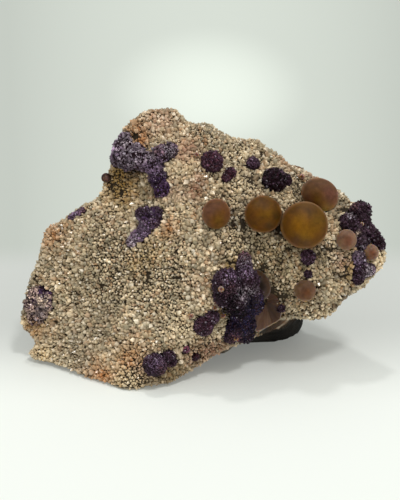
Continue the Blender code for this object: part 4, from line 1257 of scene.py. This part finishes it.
def violet_paint(start):
    """Bright-faced fluorite crystals: their tones, with painted glints and painted shade, under a glossy
    skin.
    """
    cloud = cloud_of(start, 0.6, 3.0)
    return {
        "Base Color": tone_of(start).scaled(0.7 + 0.6 * cloud),
        "Roughness": 0.10 + 0.3 * cloud,
        "IOR": FLUORITE_IOR,
        "Specular IOR Level": 0.15,
    }


violet = finish("purple_crystals", violet_paint)
for number, (name, (spacing, size, spread, unevenness)) in enumerate(GRAIN_OF.items()):
    node, balls = GROWTHS[name]
    points, faces, colours = crystal_lump(balls, spacing, size, spread, unevenness, 200 + 10 * number)
    add_piece(name, from_face(points), faces, violet, node, colours)

# The stage: a wide pale floor, painted with shade, a bright spot and a faint glow so that it looks like a
# lit paper backdrop from in front, a soft light from high in front on the right, a weaker one from above,
# and a room that is bright overhead.
FLOOR_REACH = 4.0
CAMERA_PLACE = (-1.8, 50.6, 600.0)
CAMERA_AT = from_face([CAMERA_PLACE])[0] * MM
# The paper's tones: near the stone, greyer behind it as painted shade, on the backdrop, and a painted
# bright spot on it; then its tint and a faint painted glow
FOLD_AT = 0.084
NEAR_TONE = 0.86
FAR_PAINTED_SHADE_TONE = 0.58
WALL_TONE = 0.640
PAINTED_SPOT_LIGHT = 0.23
PAPER_RED = 0.975
PAPER_BLUE = 0.955
PAINTED_PAPER_GLOW = 0.17


def stage_paint(start):
    """Matt paper: pale in front, greyer behind the stone as painted shade, and past the fold a painted
    bright spot that fades outwards in the proportions of the picture: across over distance, and one over
    distance. It darkens to the sides as painted shade, and glows faintly as painted light."""
    place = start.node("ShaderNodeTexCoord", out="Object")
    across = start.node("ShaderNodeSeparateXYZ", None, {0: place}, "X")
    back = start.node("ShaderNodeSeparateXYZ", None, {0: place}, "Y")

    def stepped(value, low, high, before, after):
        """A smooth step from one level to another as the value goes from low to high."""
        settings = {"interpolation_type": "SMOOTHSTEP"}
        ends = {"Value": value, "From Min": low, "From Max": high, "To Min": before, "To Max": after}
        return start.node("ShaderNodeMapRange", settings, ends)

    nearness = 1 / (back - float(CAMERA_AT[1]))
    sideways = across * nearness - 0.004
    spot_up = (nearness - 1.10) * 6.0
    painted_spot = sideways * 15 * (sideways * 15) + spot_up * spot_up
    # Painted shade: the backdrop darkens towards the sides
    painted_side_shade = start.math("MINIMUM", sideways * sideways * 8.0, 0.12)
    # Painted light: a bright spot on the backdrop
    wall = WALL_TONE - painted_side_shade + stepped(painted_spot, -0.4, 1.0, PAINTED_SPOT_LIGHT, 0.0)
    # Painted shade: the paper is greyer behind the stone
    near = stepped(back, -0.045, 0.035, NEAR_TONE, FAR_PAINTED_SHADE_TONE)
    past_fold = stepped(back, FOLD_AT - 0.004, FOLD_AT + 0.03, 0.0, 1.0)
    tone = near + past_fold * (wall - near)
    # Painted light: a faint glow is taken off the paper's colour and given back as emission, which lifts
    # its shadows
    lit = tone - 0.85 * PAINTED_PAPER_GLOW
    red = lit * (PAPER_RED - 0.04 * past_fold)
    blue = lit * (PAPER_BLUE - 0.045 * past_fold)
    colour = start.node("ShaderNodeCombineColor", None, {"Red": red, "Green": lit, "Blue": blue})
    return {
        "Base Color": colour,
        "Roughness": 0.9,
        "Specular IOR Level": 0.1,
        "Emission Color": (PAPER_RED * PAINTED_PAPER_GLOW, PAINTED_PAPER_GLOW, PAPER_BLUE * PAINTED_PAPER_GLOW, 1),
        "Emission Strength": 1.0,
    }


floor_mesh = bpy.data.meshes.new("floor")
floor_corners = [(-FLOOR_REACH, -FLOOR_REACH, 0), (FLOOR_REACH, -FLOOR_REACH, 0),
                 (FLOOR_REACH, FLOOR_REACH, 0), (-FLOOR_REACH, FLOOR_REACH, 0)]
floor_mesh.from_pydata(floor_corners, [], [(0, 1, 2, 3)])
floor_mesh.materials.append(finish("pale_paper", stage_paint))
floor = bpy.data.objects.new("floor", floor_mesh)
bpy.context.scene.collection.objects.link(floor)


def sun(name, towards, strength, softness):
    """A far lamp that shines from the given direction, and looks that wide in radians."""
    lamp = bpy.data.lights.new(name, "SUN")
    lamp.energy = strength
    lamp.angle = softness
    item = bpy.data.objects.new(name, lamp)
    way = np.array(towards) / np.linalg.norm(towards)
    item.rotation_euler = (math.acos(way[2]), 0, math.atan2(way[1], way[0]) + math.pi / 2)
    bpy.context.scene.collection.objects.link(item)


sun("front_lamp", (12.0, -17.0, 42.2), 1.11, 0.14)
sun("top_lamp", (-3.5, 10.6, 42.2), 0.54, 0.10)


def room_light(tree):
    """The room: bright overhead and dim towards the horizon, but an even pale grey where it is seen."""
    start = Wire(tree)
    way = start.node("ShaderNodeTexCoord", out="Generated")
    up = start.node("ShaderNodeSeparateXYZ", None, {0: way}, "Z")
    lit = start.node("ShaderNodeMapRange", {"interpolation_type": "SMOOTHSTEP"}, {
        "Value": up, "From Min": 0.0, "From Max": 0.85, "To Min": 0.22, "To Max": 0.80})
    seen = start.node("ShaderNodeLightPath", out="Is Camera Ray")
    strength = lit + seen * (0.66 - lit)
    tree.links.new(strength.socket, tree.nodes["Background"].inputs["Strength"])
    tree.nodes["Background"].inputs["Color"].default_value = (0.97, 1.0, 0.96, 1)


world = bpy.data.worlds.new("room")
world.use_nodes = True
room_light(world.node_tree)
bpy.context.scene.world = world
bpy.context.scene.view_settings.view_transform = "Standard"

# The camera stands squarely before the leaning face, 0.6 m out, and fits 180 mm of it in the
# picture's height.
PICTURE_HEIGHT = 180.0
lens = bpy.data.cameras.new("camera")
lens.sensor_width = 36.0
lens.lens = lens.sensor_width * CAMERA_PLACE[2] / PICTURE_HEIGHT
lens.clip_start = 0.05
lens.clip_end = 10.0
camera = bpy.data.objects.new("camera", lens)
camera.location = CAMERA_AT
camera.rotation_euler = (math.pi / 2 - LEAN, 0, 0)
bpy.context.scene.collection.objects.link(camera)
bpy.context.scene.camera = camera
